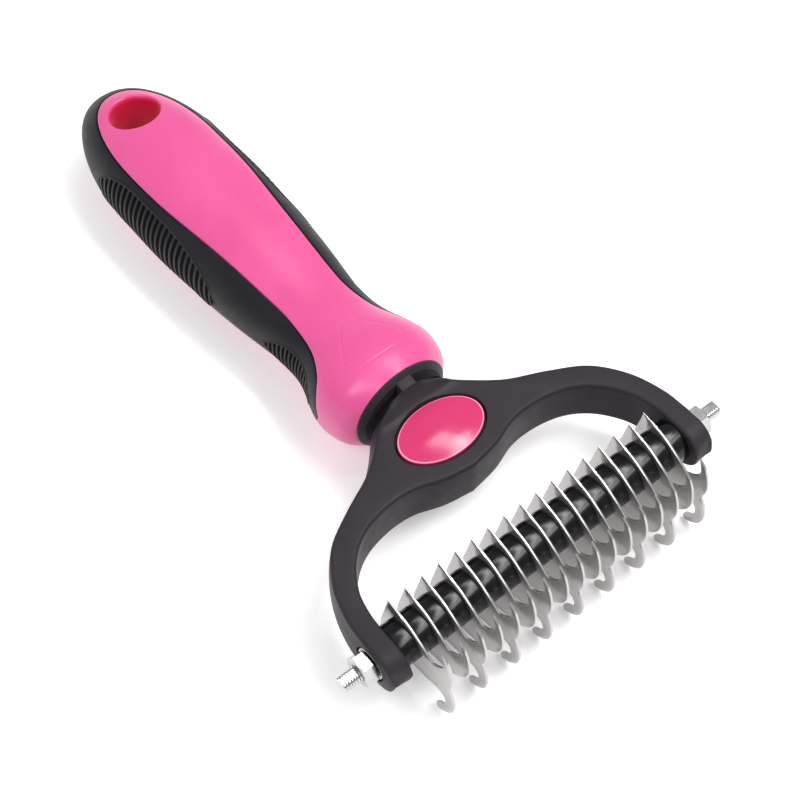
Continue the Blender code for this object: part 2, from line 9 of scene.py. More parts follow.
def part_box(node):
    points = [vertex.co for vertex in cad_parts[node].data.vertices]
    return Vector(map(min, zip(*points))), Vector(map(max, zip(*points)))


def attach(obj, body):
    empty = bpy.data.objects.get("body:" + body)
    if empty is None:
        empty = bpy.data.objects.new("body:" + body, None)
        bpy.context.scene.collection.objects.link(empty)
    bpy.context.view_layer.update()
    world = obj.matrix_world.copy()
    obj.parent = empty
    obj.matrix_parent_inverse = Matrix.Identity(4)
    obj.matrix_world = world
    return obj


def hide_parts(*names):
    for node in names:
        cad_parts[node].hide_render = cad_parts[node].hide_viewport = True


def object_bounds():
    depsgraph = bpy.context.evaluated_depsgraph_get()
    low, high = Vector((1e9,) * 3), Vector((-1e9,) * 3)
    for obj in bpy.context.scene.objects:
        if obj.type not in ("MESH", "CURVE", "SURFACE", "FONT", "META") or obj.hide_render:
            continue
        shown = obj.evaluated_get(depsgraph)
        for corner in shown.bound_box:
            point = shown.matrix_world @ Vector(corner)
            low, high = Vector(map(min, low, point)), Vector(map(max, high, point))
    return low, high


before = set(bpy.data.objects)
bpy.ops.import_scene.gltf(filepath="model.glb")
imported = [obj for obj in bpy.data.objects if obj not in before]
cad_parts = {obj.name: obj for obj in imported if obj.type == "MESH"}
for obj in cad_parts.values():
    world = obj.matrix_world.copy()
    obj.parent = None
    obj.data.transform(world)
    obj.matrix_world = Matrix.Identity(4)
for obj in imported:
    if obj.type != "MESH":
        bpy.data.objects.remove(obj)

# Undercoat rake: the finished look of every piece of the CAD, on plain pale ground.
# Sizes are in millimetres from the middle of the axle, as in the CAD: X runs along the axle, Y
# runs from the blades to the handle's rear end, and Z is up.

cad_low, cad_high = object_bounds()

MM = 0.001
axle_low, axle_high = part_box("axle")
AXLE = (np.array(axle_low) + np.array(axle_high)) / 2 / MM
AXLE_PLACE = tuple(AXLE * MM)

SHARP_ANGLE = 40  # edges steeper than this stay sharp in the shading
WELD = 0.002  # points closer than this are one point


def span(node, axis):
    """Lowest and highest coordinate of a CAD node along one axis, from the axle's middle."""
    low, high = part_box(node)
    return low[axis] / MM - AXLE[axis], high[axis] / MM - AXLE[axis]


def middle(node):
    """Middle of a CAD node's box, from the axle's middle."""
    return np.array([sum(span(node, axis)) / 2 for axis in range(3)])


# Handle
HANDLE_FRONT_Y = span("handle_core", 1)[0]
HANDLE_END_Y = span("grip_overmould", 1)[1]
HANDLE_ROUND_Y = 136.5  # the rear end is round from here on
FRONT_SQUARENESS = 2.0  # exponent of the handle's section at its front end
HANDLE_SQUARENESS = 2.2  # and behind the bulb, where 2 is an ellipse
SQUARE_FROM_Y = 53.0
REAR_SQUARENESS = 2.1  # the same for the rear end's outline seen from above
REAR_STEPS = 64  # columns round one half of the rear end
TOP_COLUMNS = 168
SECTION_STEPS = 150
HOLE_Y = 153.0
HOLE_RADIUS = 6.2
HOLE_RIM_RADIUS = 7.15
HOLE_RIM_DEPTH = 2.5
STRIP_TIP_Y = 57.3  # where the line between the strip and the grip starts
STRIP_NOSE = 4.5  # length of the grip's round tip
STRIP_END_Y = 164.0
FINE_ROWS_Y = (52.8, 69.4)  # the handle's rows lie close together over the thumb mark
FINE_ROW_STEP = 0.2
CORE_ROWS_END_Y = 142.0  # the rows behind this go round the hanging hole
LEAST_ROW_GAP = 0.015

# Line between the strip and the grip
LIP_ROUND = 0.3
GROOVE_WIDTH = 0.38
GROOVE_DEPTH = 1.15
GRIP_THICKNESS = 1.05
LIP_STEPS = 4
GRIP_COLUMNS = 104
BACK_COLUMNS = 15

# Guide stations of the handle: Y, half width, half height, height of the section's middle
HANDLE_STATIONS = [
    (HANDLE_FRONT_Y, 13.0, 12.9, 0.0),
    (49.2, 14.6, 13.5, -0.4),
    (52.0, 16.1, 14.1, -0.6),
    (57.0, 16.9, 14.3, -0.9),
    (62.0, 15.8, 13.5, -1.0),
    (68.0, 13.7, 11.9, -1.0),
    (76.0, 12.9, 10.8, -1.2),
    (86.0, 14.1, 11.2, -1.3),
    (98.0, 15.6, 12.4, -1.3),
    (110.0, 16.5, 13.3, -1.3),
    (124.0, 17.1, 14.2, -1.4),
    (HANDLE_ROUND_Y, 16.9, 14.3, -1.4),
]
# Guide points of the line between the strip and the grip: Y, half width of the strip
STRIP_GUIDES = [
    (57.5, 16.6),
    (62.0, 13.0),
    (68.0, 9.9),
    (74.0, 8.6),
    (80.0, 8.1),
    (86.0, 8.4),
    (98.0, 9.4),
    (110.0, 10.6),
    (124.0, 12.0),
    (HANDLE_ROUND_Y, 12.3),
]

# Leaf-shaped rib fields on the grip: Y and the angle round the section, in degrees from its side
LARGE_LEAF = [(99.4, 0), (102.1, 16), (106.1, 25), (110.5, 30.4), (114.9, 34.3), (120.3, 36.3),
              (126.9, 35.8), (133.9, 35), (139.1, 32.2), (143.2, 26), (147.2, 14), (148.3, 0)]
SMALL_LEAF = [(62.2, 0), (62.8, 8), (64.2, 15), (66.4, 20.5), (69.0, 23.5), (72.0, 24),
              (75.2, 21.5), (78.2, 16), (80.8, 8), (82.6, 0)]
LEAF_RADIUS = 15.0  # turns an angle round the section into a distance
LARGE_PITCH = 1.9
SMALL_PITCH = 1.45
RIB_STEPS = (0.0, 0.19, 0.26, 0.5, 0.74, 0.81)  # where rows of points lie within one pitch
RIB_DEPTH = 0.85
RIB_START = (0.35, 0.8)  # how far inside the field's outline a groove starts and is full
BEAD_HEIGHT = 0.2
BEAD_WIDTH = 0.32

# Thumb mark on the bulb: centres of its round corners
THUMB_CORNERS = [(0.0, 64.9), (-5.2, 57.1), (5.2, 57.1)]
THUMB_ROUND = 3.1
THUMB_LINE = 0.22
THUMB_DEPTH = 0.12

# Head frame
PLATE_HALF_Z = 6.2
EDGE_ROUND = 0.9
ARM_CROWN = 0.35
ARM_INNER_X = 42.1
ARM_OUTER_X = span("head_frame", 0)[1]
ARM_NOSE_Y = -1.5
ARM_NOSE_RADIUS = 6.3
ARM_CORNER_RADIUS = 2.0
POCKET_RADIUS = 4.45
POCKET_DEPTH = 1.4
NECK_FRONT_Y = 44.3
NECK_REAR_Y = 46.5
NECK_TOP_Z = 10.9
NECK_CORE_RADIUS = 6.6
NECK_WEB_HALF_WIDTH = 2.0
BOW_STEPS = 6  # curve steps between two guide points of the bow
RAMP_SPANS = 3  # the ramp into the neck ends at this guide point of the upper edge
RAMP_POWER = 2.6  # how steeply it rises
RAMP_COLUMNS = 25
ARM_COLUMNS = 9
WALL_STEPS = 8
EDGE_STEPS = 6
COLLAR_RADIUS = 12.9
COLLAR_REAR_Y = 47.5
TANG_END_Y = 82.0
TANG_SQUARENESS = 4.0
TANG_CLEARANCE = 0.3
FRAME_BORE_GAP = 0.3
CUT_REACH = 60.0  # cutters end this far out, past every piece they meet

# Upper edge of the bow from the neck's slot to the arm: X, Y, Z, and how far the wall below it
# bulges out in X and Y
EDGE_GUIDES = [
    (6.0, NECK_FRONT_Y, 9.0, 5.3, 0.0),
    (9.0, 43.2, 7.8, 3.3, 0.4),
    (11.2, 42.0, 6.5, 1.9, 0.7),
    (13.8, 39.9, PLATE_HALF_Z, 1.0, 0.9),
    (17.5, 36.8, PLATE_HALF_Z, 0.6, 0.8),
    (21.8, 33.9, PLATE_HALF_Z, 0.4, 0.6),
    (30.0, 30.0, PLATE_HALF_Z, 0.2, 0.4),
    (38.4, 24.9, PLATE_HALF_Z, 0.25, 0.25),
    (44.1, 17.2, PLATE_HALF_Z, 0.35, 0.15),
    (46.9, 8.8, PLATE_HALF_Z, ARM_CROWN, 0.0),
    (ARM_OUTER_X - ARM_CROWN, 2.0, PLATE_HALF_Z, ARM_CROWN, 0.0),
]
# Inner edge of the bow from the arm to the middle: X, Y
INNER_GUIDES = [
    (ARM_INNER_X, 2.0),
    (41.7, 7.0),
    (40.0, 13.0),
    (35.6, 19.2),
    (29.8, 23.2),
    (22.5, 25.0),
    (15.0, 24.8),
    (7.8, 22.4),
    (0.0, 21.1),
]

# Badge
BADGE_Y = middle("badge")[1]
BADGE_HALF_X = 11.4
BADGE_HALF_Y = 7.45
BADGE_GROOVE = 0.6
BADGE_BASE_Z = 5.0
BADGE_RIM_Z = 6.35
BADGE_CROWN = 0.85
BADGE_ROUND = 0.4
BADGE_SIDES = 128

# Axle, fasteners and blade pack
AXLE_HALF_LENGTH = span("axle", 0)[1]
AXLE_RADIUS = 2.0
AXLE_HALF_FLATS = 1.6
AXLE_END_INSET = 0.3  # the rod's end faces are this much smaller than the rod
AXLE_END_ROUND = 0.2  # length of the chamfer there, and how far its flats close in
THREAD_PITCH = 0.7
THREAD_DEPTH = 0.16
THREAD_LENGTH = 9.0
NUT_ACROSS_FLATS = 7.0
NUT_THICKNESS = 3.2
NUT_FACE_SHARE = 0.965  # round face of the nut, as a share of its width across flats
NUT_CONE_SLOPE = math.tan(math.radians(60))
NUT_LEVELS = (0.0, 0.05, 0.1, 0.16, 0.22, 0.28, 0.34, 0.4, 0.5)  # rows in from each face
NUT_SIDES = 144
WASHER_RADIUS = 4.05
WASHER_THICKNESS = 0.8
WASHER_ROUND = 0.15
RING_SIDES = 72
BORE_RADIUS = 2.12
BORE_CHAMFER = 0.25
BLADE_THICKNESS = 0.6
BLADE_CHAMFER = 0.08
BLADE_HOLE_GAP = 0.15
GROUND_WIDTH = 0.5  # the ground bevel at the point of the rear tooth
GROUND_LAND = 0.06
GROUND_REACH = (1.0, 5.5)  # the bevel narrows between these distances from the point
SPACER_RADIUS = 5.4
SPACER_ROUND = 0.35
BLADE_CLEARANCE = 0.02


# ---- curves ----

def smooth_curve(guides, steps):
    """Catmull-Rom curve through the guide points, with a number of steps between two guides."""
    points = [np.array(guide, dtype=float) for guide in guides]
    row = [2 * points[0] - points[1]] + points + [2 * points[-1] - points[-2]]
    curve = []
    for before, start, end, after in zip(row, row[1:], row[2:], row[3:]):
        for step in range(steps):
            t = step / steps
            linear = (end - before) * t
            square = (2 * before - 5 * start + 4 * end - after) * t ** 2
            cube = (3 * start - before - 3 * end + after) * t ** 3
            curve.append(0.5 * (2 * start + linear + square + cube))
    curve.append(points[-1])
    return curve


def level_spline(guides, at):
    """Cubic spline through guide rows, position first, that ends level. One row per column."""
    guides = np.array(guides, dtype=float)
    knots = guides[:, 0]
    values = guides[:, 1:]
    at = np.clip(at, knots[0], knots[-1])
    gaps = np.diff(knots)
    slopes = np.diff(values, axis=0) / gaps[:, None]
    system = np.eye(len(knots))
    right = np.zeros(values.shape)
    for i in range(1, len(knots) - 1):
        system[i, i - 1:i + 2] = (gaps[i - 1], 2 * (gaps[i - 1] + gaps[i]), gaps[i])
        right[i] = 6 * (slopes[i] - slopes[i - 1])
    system[-1, -2:] = (gaps[-1], 2 * gaps[-1])
    right[-1] = -6 * slopes[-1]
    bend = np.linalg.solve(system, right)
    i = np.clip(np.searchsorted(knots, at) - 1, 0, len(knots) - 2)
    t = (at - knots[i])[:, None]
    gap = gaps[i, None]
    linear = slopes[i] - gap * (2 * bend[i] + bend[i + 1]) / 6
    cube = (bend[i + 1] - bend[i]) / (6 * gap)
    return (values[i] + t * (linear + t * (bend[i] / 2 + t * cube))).T


def arc(centre, radius, start, end, steps):
    """Points of an arc, in degrees, both ends included."""
    points = []
    for step in range(steps + 1):
        angle = math.radians(start + (end - start) * step / steps)
        x = centre[0] + radius * math.cos(angle)
        y = centre[1] + radius * math.sin(angle)
        points.append((x, y))
    return points


def double_d(radius, flats, sides):
    """Outline of a round rod with two flats, as (Y, Z) points."""
    points = []
    for side in range(sides):
        turn = 2 * math.pi * side / sides
        z = radius * math.sin(turn)
        points.append((radius * math.cos(turn), min(max(z, -flats), flats)))
    return points


def ease(value, low, high):
    """0 below low, 1 above high, and smooth between."""
    t = np.clip((value - low) / (high - low), 0.0, 1.0)
    return t * t * (3 - 2 * t)


# ---- meshes and objects ----

class Shell:
    """Grids and caps of points that are joined into one closed mesh."""

    def __init__(self):
        self.points = []
        self.faces = []

    def grid(self, rows, wrap=False):
        rows = np.asarray(rows, dtype=float)
        height, width = rows.shape[:2]
        start = len(self.points)
        self.points.extend(rows.reshape(-1, 3))
        for row in range(height - 1):
            base = start + row * width
            for column in range(width if wrap else width - 1):
                after = (column + 1) % width
                face = (base + column, base + after, base + width + after, base + width + column)
                self.faces.append(face)

    def cap(self, loop):
        start = len(self.points)
        self.points.extend(np.asarray(loop, dtype=float))
        self.faces.append(tuple(range(start, start + len(loop))))

    def mesh(self, name, fill_x=(), sharp_angle=SHARP_ANGLE):
        """The closed mesh. fill_x lists X levels whose open outlines are filled flat."""
        mesh = bpy.data.meshes.new(name)
        mesh.from_pydata((np.array(self.points) * MM).tolist(), [], self.faces)
        bm = bmesh.new()
        bm.from_mesh(mesh)
        bmesh.ops.remove_doubles(bm, verts=bm.verts, dist=WELD * MM)
        for level in fill_x:
            open_edges = [edge for edge in bm.edges if edge.is_boundary and all(
                abs(corner.co.x / MM - level) < 10 * WELD for corner in edge.verts)]
            bmesh.ops.triangle_fill(bm, edges=open_edges, use_beauty=True)
        bmesh.ops.recalc_face_normals(bm, faces=bm.faces)
        bm.to_mesh(mesh)
        bm.free()
        smooth(mesh, sharp_angle)
        return mesh


def smooth(mesh, sharp_angle=SHARP_ANGLE):
    mesh.shade_smooth()
    mesh.set_sharp_from_angle(angle=math.radians(sharp_angle))


def put(name, mesh, location=AXLE_PLACE):
    item = bpy.data.objects.new(name, mesh)
    item.location = Vector(location)
    bpy.context.scene.collection.objects.link(item)
    return item


def on_axle(point):
    """World place, in metres, of a point given from the axle's middle."""
    return Vector((np.array(point) + AXLE) * MM)


def put_on_axle(node, mesh):
    """A piece made round the origin, at its CAD node's place along the axle."""
    return put(node + "_look", mesh, on_axle((middle(node)[0], 0, 0)))


def stand_for(item, node, body, material):
    """The piece takes the place of a CAD node, rides on its body and gets its finish."""
    if not item.data.materials:
        item.data.materials.append(material)
    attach(item, body)
    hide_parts(node)


def combine(item, cutters):
    """Cut each cutter away from the piece, or join it on, and keep the result as one mesh."""
    for other, operation in cutters:
        modifier = item.modifiers.new(other.name, "BOOLEAN")
        modifier.operation = operation
        modifier.solver = "EXACT"
        modifier.object = other
    evaluated = item.evaluated_get(bpy.context.evaluated_depsgraph_get())
    result = bpy.data.meshes.new_from_object(evaluated)
    item.modifiers.clear()
    item.data = result
    for other, _ in cutters:
        bpy.data.objects.remove(other, do_unlink=True)
    smooth(result)


def about_x(profile, turn):
    """A profile of (X, radius) points, turned about the X axis."""
    return [(x, r * math.cos(turn), r * math.sin(turn)) for x, r in profile]


def turned(profile):
    """Shell turned about the X axis from a closed profile of (X, radius) points."""
    shell = Shell()
    rows = [about_x(profile, 2 * math.pi * side / RING_SIDES) for side in range(RING_SIDES)]
    shell.grid(rows + rows[:1], wrap=True)
    return shell


def oval(half_x, half_y, z):
    """Level ring round the badge's middle."""
    angles = np.linspace(0, 2 * math.pi, BADGE_SIDES, endpoint=False)
    x = half_x * np.cos(angles)
    y = BADGE_Y + half_y * np.sin(angles)
    return np.stack([x, y, np.full(BADGE_SIDES, z)], axis=1)


def lofted(rings):
    """Closed shell through rings of equally many points."""
    shell = Shell()
    shell.grid(rings, wrap=True)
    shell.cap(rings[0])
    shell.cap(rings[-1])
    return shell


# ---- materials ----

def new_material(name):
    material = bpy.data.materials.new(name)
    material.use_nodes = True
    return material, material.node_tree


def texture_place(tree, stretch=(1, 1, 1), shift=(0, 0, 0)):
    """Position on the piece, stretched along its axes and then shifted."""
    place = tree.nodes.new("ShaderNodeTexCoord")
    mapping = tree.nodes.new("ShaderNodeMapping")
    mapping.inputs["Scale"].default_value = stretch
    mapping.inputs["Location"].default_value = shift
    tree.links.new(place.outputs["Object"], mapping.inputs["Vector"])
    return mapping.outputs["Vector"]


def noise(tree, place, scale, detail=3.0, roughness=0.5):
    texture = tree.nodes.new("ShaderNodeTexNoise")
    texture.inputs["Scale"].default_value = scale
    texture.inputs["Detail"].default_value = detail
    texture.inputs["Roughness"].default_value = roughness
    tree.links.new(place, texture.inputs["Vector"])
    return texture.outputs["Fac"]


def ranged(tree, value, low, high, out_low, out_high):
    step = tree.nodes.new("ShaderNodeMapRange")
    step.inputs["From Min"].default_value = low
    step.inputs["From Max"].default_value = high
    step.inputs["To Min"].default_value = out_low
    step.inputs["To Max"].default_value = out_high
    tree.links.new(value, step.inputs["Value"])
    return step.outputs["Result"]


def tinted(tree, factor, colour, other):
    mix = tree.nodes.new("ShaderNodeMix")
    mix.data_type = "RGBA"
    if isinstance(colour, tuple):
        mix.inputs["A"].default_value = (*colour, 1)
    else:
        tree.links.new(colour, mix.inputs["A"])
    mix.inputs["B"].default_value = (*other, 1)
    tree.links.new(factor, mix.inputs["Factor"])
    return mix.outputs["Result"]


def bumped(tree, shader, height, distance, strength):
    bump = tree.nodes.new("ShaderNodeBump")
    bump.inputs["Distance"].default_value = distance
    bump.inputs["Strength"].default_value = strength
    tree.links.new(height, bump.inputs["Height"])
    tree.links.new(bump.outputs["Normal"], shader.inputs["Normal"])


def oval_ring(tree, centre_y, half_x, half_y, inner, outer):
    """One between two shares of an upright oval's size and zero away from it.

    Inner and outer each hold the shares where the edge of the ring starts and ends.
    """
    scale = (1 / (half_x * MM), 1 / (half_y * MM), 0)
    place = texture_place(tree, scale, (0, -centre_y / half_y, 0))
    share = tree.nodes.new("ShaderNodeVectorMath")
    share.operation = "LENGTH"
    tree.links.new(place, share.inputs[0])
    ring = tree.nodes.new("ShaderNodeMath")
    ring.operation = "MULTIPLY"
    tree.links.new(ranged(tree, share.outputs["Value"], *inner, 0.0, 1.0), ring.inputs[0])
    tree.links.new(ranged(tree, share.outputs["Value"], *outer, 1.0, 0.0), ring.inputs[1])
    return ring.outputs["Value"]


def moulded(name, colour, other, gloss, grain, subsurface=0.0, specular=0.5, sheen=0.0,
            ring=None, painted_light_colour=None):
    """Moulded plastic or rubber, cloudy between two colours.

    Gloss is (low, high) roughness and grain is (scale, strength). A ring given as oval_ring
    takes it gets another colour, as painted light: painted shade in the hanging hole, a painted
    highlight on the badge's rim.
    """
    material, tree = new_material(name)
    shader = tree.nodes["Principled BSDF"]
    place = texture_place(tree)
    clouds = noise(tree, place, 60.0)
    tint = ranged(tree, clouds, 0.35, 0.65, 0.0, 1.0)
    skin = tinted(tree, tint, colour, other)
    # Painted light: the ring paints its colour over the skin, as the painted shade or painted
    # highlight it is given.
    if ring:
        skin = tinted(tree, oval_ring(tree, *ring), skin, painted_light_colour)
    tree.links.new(skin, shader.inputs["Base Color"])
    smudges = noise(tree, place, 140.0, 5.0, 0.6)
    tree.links.new(ranged(tree, smudges, 0.35, 0.65, *gloss), shader.inputs["Roughness"])
    pits = noise(tree, place, grain[0], 2.0)
    bumped(tree, shader, pits, 0.0001, grain[1])
    shader.inputs["Specular IOR Level"].default_value = specular
    shader.inputs["Sheen Weight"].default_value = sheen
    shader.inputs["Sheen Roughness"].default_value = 0.45
    shader.inputs["Subsurface Weight"].default_value = subsurface
    shader.inputs["Subsurface Radius"].default_value = (0.0022, 0.0006, 0.0009)
    shader.inputs["Subsurface Scale"].default_value = 1.0
    return material


def metal(name, colour, other, gloss, stretch, grain, metallic):
    """Metal with a fine grain, which stretch can draw out along an axis."""
    material, tree = new_material(name)
    shader = tree.nodes["Principled BSDF"]
    shader.inputs["Metallic"].default_value = metallic
    place = texture_place(tree)
    clouds = noise(tree, place, 110.0, 4.0)
    tint = ranged(tree, clouds, 0.35, 0.65, 0.0, 1.0)
    tree.links.new(tinted(tree, tint, colour, other), shader.inputs["Base Color"])
    drawn = texture_place(tree, stretch)
    scratches = noise(tree, drawn, grain[0], 5.0, 0.65)
    tree.links.new(ranged(tree, scratches, 0.3, 0.7, *gloss), shader.inputs["Roughness"])
    bumped(tree, shader, scratches, 0.00002, grain[1])
    return material


# Painted light: the hole's wall is painted a deeper red than the rest of the handle, as painted
# shade and bounced light from pink to pink, and the badge's round rim is painted paler, as a
# painted highlight.
HOLE_PAINTED_SHADE_RING = (HOLE_Y, HOLE_RADIUS, HOLE_RADIUS, (0.0, 0.5), (1.01, HOLE_RIM_RADIUS / HOLE_RADIUS))
BADGE_PAINTED_HIGHLIGHT_RING = (BADGE_Y, BADGE_HALF_X, BADGE_HALF_Y, (0.955, 0.966), (0.988, 0.996))
# painted shade in the hanging hole: the deeper red ring on the pink handle
PINK = moulded("pink_plastic", (0.65, 0.078, 0.265), (0.62, 0.066, 0.24),
               gloss=(0.30, 0.38), grain=(2600.0, 0.05), subsurface=0.12, sheen=0.12,
               ring=HOLE_PAINTED_SHADE_RING, painted_light_colour=(0.62, 0.003, 0.055))
# painted highlight: the paler ring along the badge's round rim
BADGE_PINK = moulded("badge_plastic", (0.53, 0.030, 0.125), (0.50, 0.025, 0.115),
                     gloss=(0.12, 0.18), grain=(1800.0, 0.02), specular=0.4,
                     ring=BADGE_PAINTED_HIGHLIGHT_RING, painted_light_colour=(0.85, 0.26, 0.38))
RUBBER = moulded("black_rubber", (0.006, 0.006, 0.008), (0.009, 0.008, 0.011),
                 gloss=(0.46, 0.58), grain=(5200.0, 0.22), specular=0.18, sheen=0.05)
FRAME_PLASTIC = moulded("frame_plastic", (0.031, 0.025, 0.032), (0.025, 0.021, 0.026),
                        gloss=(0.40, 0.50), grain=(4200.0, 0.25), specular=0.13)
SLEEVE = moulded("sleeve_plastic", (0.002, 0.002, 0.003), (0.003, 0.003, 0.005),
                 gloss=(0.17, 0.23), grain=(1500.0, 0.02), specular=0.28)
BLADE_STEEL = metal("blade_steel", (0.48, 0.465, 0.46), (0.43, 0.415, 0.41), gloss=(0.20, 0.27),
                    stretch=(1, 0.15, 1), grain=(2400.0, 0.03), metallic=0.86)
ZINC = metal("zinc_steel", (0.52, 0.52, 0.52), (0.46, 0.46, 0.465), gloss=(0.14, 0.22),
             stretch=(1, 1, 1), grain=(900.0, 0.06), metallic=1.0)


# ---- handle surface ----

TABLE_Y = np.linspace(HANDLE_FRONT_Y, HANDLE_ROUND_Y, 2401)
TABLE_HALF_X, TABLE_HALF_Z, TABLE_MIDDLE = level_spline(HANDLE_STATIONS, TABLE_Y)
TABLE_STRIP, = level_spline(STRIP_GUIDES, TABLE_Y)
peak = np.argmax(TABLE_MIDDLE + TABLE_HALF_Z)
TABLE_HALF_Z *= (span("handle_core", 2)[1] - TABLE_MIDDLE[peak]) / TABLE_HALF_Z[peak]


def rear_rounding(y, power):
    """1 along the handle, falling to 0 at its rear end."""
    t = np.clip((y - HANDLE_ROUND_Y) / (HANDLE_END_Y - HANDLE_ROUND_Y), 0.0, 1.0)
    return (1 - t ** power) ** (1 / power)


def half_width(y):
    return np.interp(y, TABLE_Y, TABLE_HALF_X) * rear_rounding(y, REAR_SQUARENESS)


def half_height(y):
    return np.interp(y, TABLE_Y, TABLE_HALF_Z) * rear_rounding(y, 2.0)


def middle_height(y):
    return np.interp(y, TABLE_Y, TABLE_MIDDLE)


def squareness(y):
    share = ease(y, HANDLE_FRONT_Y, SQUARE_FROM_Y)
    return FRONT_SQUARENESS + (HANDLE_SQUARENESS - FRONT_SQUARENESS) * share


def height_over_middle(x, y):
    share = np.minimum(np.abs(x) / np.maximum(half_width(y), 1e-6), 1.0)
    power = squareness(y)
    return half_height(y) * (1 - share ** power) ** (1 / power)


def surface_row(x, y, side):
    """Points of the handle's top (side 1) or underside (side -1)."""
    x, y = np.broadcast_arrays(np.asarray(x, dtype=float), np.asarray(y, dtype=float))
    return np.stack([x, y, middle_height(y) + side * height_over_middle(x, y)], axis=-1)


def rear_corner(turn, half_x, length):
    """Plan point on a rear outline, at an angle from the side (0) to the end (90 degrees)."""
    corner = 2 / REAR_SQUARENESS
    across = max(math.cos(turn), 0.0) ** corner
    return half_x * across, HANDLE_ROUND_Y + length * math.sin(turn) ** corner


def rear_turn(y, length):
    """The angle at which a rear outline reaches y."""
    share = max(y - HANDLE_ROUND_Y, 0.0) / length
    return math.asin(share ** (REAR_SQUARENESS / 2))


STRIP_LENGTH = STRIP_END_Y - HANDLE_ROUND_Y
REAR_LENGTH = HANDLE_END_Y - HANDLE_ROUND_Y
STRIP_HALF = STRIP_GUIDES[-1][1]
REAR_HALF = HANDLE_STATIONS[-1][1]


def strip_half(y):
    """Half width of the bare strip on top. In front of the grip it is the handle's half width."""
    if y <= STRIP_TIP_Y:
        return float(half_width(y))
    if y > HANDLE_ROUND_Y:
        return rear_corner(rear_turn(y, STRIP_LENGTH), STRIP_HALF, STRIP_LENGTH)[0]
    strip = float(np.interp(y, TABLE_Y, TABLE_STRIP))
    t = min((y - STRIP_TIP_Y) / STRIP_NOSE, 1.0)
    nose = math.sqrt(1 - (1 - t) ** 2)
    power = squareness(y)
    rise = nose * float(height_over_middle(strip, y) / half_height(y))
    return float(half_width(y)) * (1 - rise ** power) ** (1 / power)


def stations(ys, rear_steps):
    """Plan points on the strip's edge and the handle's outline, along the right side and then
    round the rear end to its middle."""
    rows = [((strip_half(y), y), (float(half_width(y)), y)) for y in ys]
    strip_start = rear_turn(ys[-1], STRIP_LENGTH)
    rear_start = rear_turn(ys[-1], REAR_LENGTH)
    for step in range(1, rear_steps + 1):
        share = step / rear_steps
        strip_turn = strip_start + (math.pi / 2 - strip_start) * share
        turn = rear_start + (math.pi / 2 - rear_start) * share
        edge = rear_corner(strip_turn, STRIP_HALF, STRIP_LENGTH)
        rim = rear_corner(turn, REAR_HALF, REAR_LENGTH)
        rows.append((edge, rim))
    return rows


def nose_rows(steps):
    """Y of the rows round the grip's tip."""
    return [STRIP_TIP_Y + STRIP_NOSE * (1 - math.cos(math.radians(90 * step / steps)))
            for step in range(steps + 1)]


def both_sides(rows):
    """Rows from the right tip to the middle of the rear end, and on to the left tip."""
    rows = np.asarray(rows)
    left = rows[-2::-1] * np.array([-1, 1, 1])
    return np.concatenate([rows, left])


def section_curve(edge, rim):
    """Curve round the handle's side between the strip's edges on top and underneath, with the
    distance along it."""
    turn = np.radians(np.linspace(90, -90, 2 * SECTION_STEPS + 1))
    share = np.cos(turn)
    x = edge[0] + (rim[0] - edge[0]) * share
    y = edge[1] + (rim[1] - edge[1]) * share
    z = middle_height(y) + np.sign(turn) * height_over_middle(x, y)
    z[SECTION_STEPS] = middle_height(y[SECTION_STEPS])
    points = np.stack([x, y, z], axis=1)
    steps = np.linalg.norm(np.diff(points, axis=0), axis=1)
    return points, np.concatenate([[0.0], np.cumsum(steps)])


def outward(skin):
    """Unit normals of a grid of points on the handle's side."""
    along = np.gradient(skin, axis=0)
    across = np.gradient(skin, axis=1)
    normals = np.cross(across, along)
    return normals / np.maximum(np.linalg.norm(normals, axis=2, keepdims=True), 1e-12)


def band(station_rows, columns_of):
    """Skin points and depths over the grip's band on both sides. columns_of turns a section's
    length into the distances along it and the depths below the surface."""
    skin = []
    depths = []
    for edge, rim in station_rows:
        points, length = section_curve(edge, rim)
        along, depth = columns_of(length[-1])
        skin.append(np.stack([np.interp(along, length, points[:, a]) for a in range(3)], axis=1))
        depths.append(depth)
    return both_sides(skin), np.array(depths + depths[-2::-1])


# ---- handle core ----

def thumb_distance(x, y):
    """Distance from the middle of the thumb mark's line."""
    corners = np.array(THUMB_CORNERS)
    nearest = np.full(np.shape(x), 1e9)
    for start, end in zip(corners, np.roll(corners, -1, axis=0)):
        way = end - start
        t = np.clip(((x - start[0]) * way[0] + (y - start[1]) * way[1]) / way.dot(way), 0, 1)
        gap = np.hypot(x - start[0] - t * way[0], y - start[1] - t * way[1])
        nearest = np.minimum(nearest, gap)
    return np.abs(nearest - THUMB_ROUND)


def recess_columns(length):
    """Half-round lip, wall and floor of the recess under the grip, and back up."""
    lip = min(LIP_ROUND, length / 2.5)
    turns = np.radians(np.linspace(0, 90, LIP_STEPS + 1))
    near = lip * np.sin(turns)
    near_depth = lip * (1 - np.cos(turns))
    depth = min(GROOVE_DEPTH, length / 2.5)
    floor = np.linspace(lip, length - lip, 9)
    along = np.concatenate([near, floor, length - near[::-1]])
    depths = np.concatenate([near_depth, np.full(9, depth), near_depth[::-1]])
    return along, depths


def core_rows():
    """Y of the handle core's rows: fine over the thumb mark and the grip's tip."""
    first, last = FINE_ROWS_Y
    front = list(np.linspace(HANDLE_FRONT_Y, first - FINE_ROW_STEP, 20))
    fine = list(np.arange(first, last, FINE_ROW_STEP))
    rear = list(np.linspace(last + FINE_ROW_STEP, CORE_ROWS_END_Y, 74))
    rows = sorted(front + fine + rear + nose_rows(12))
    return [row for row, after in zip(rows, rows[1:] + [1e9]) if after - row > LEAST_ROW_GAP]


def socket_sections():
    """Sections of the tang's socket: Y, half width and half height."""
    sections = [(HANDLE_FRONT_Y, 7.1, 5.5)] + tang_sections(TANG_CLEARANCE)[1:]
    return sections + [(TANG_END_Y + 1.0, 4.5, 3.2)]


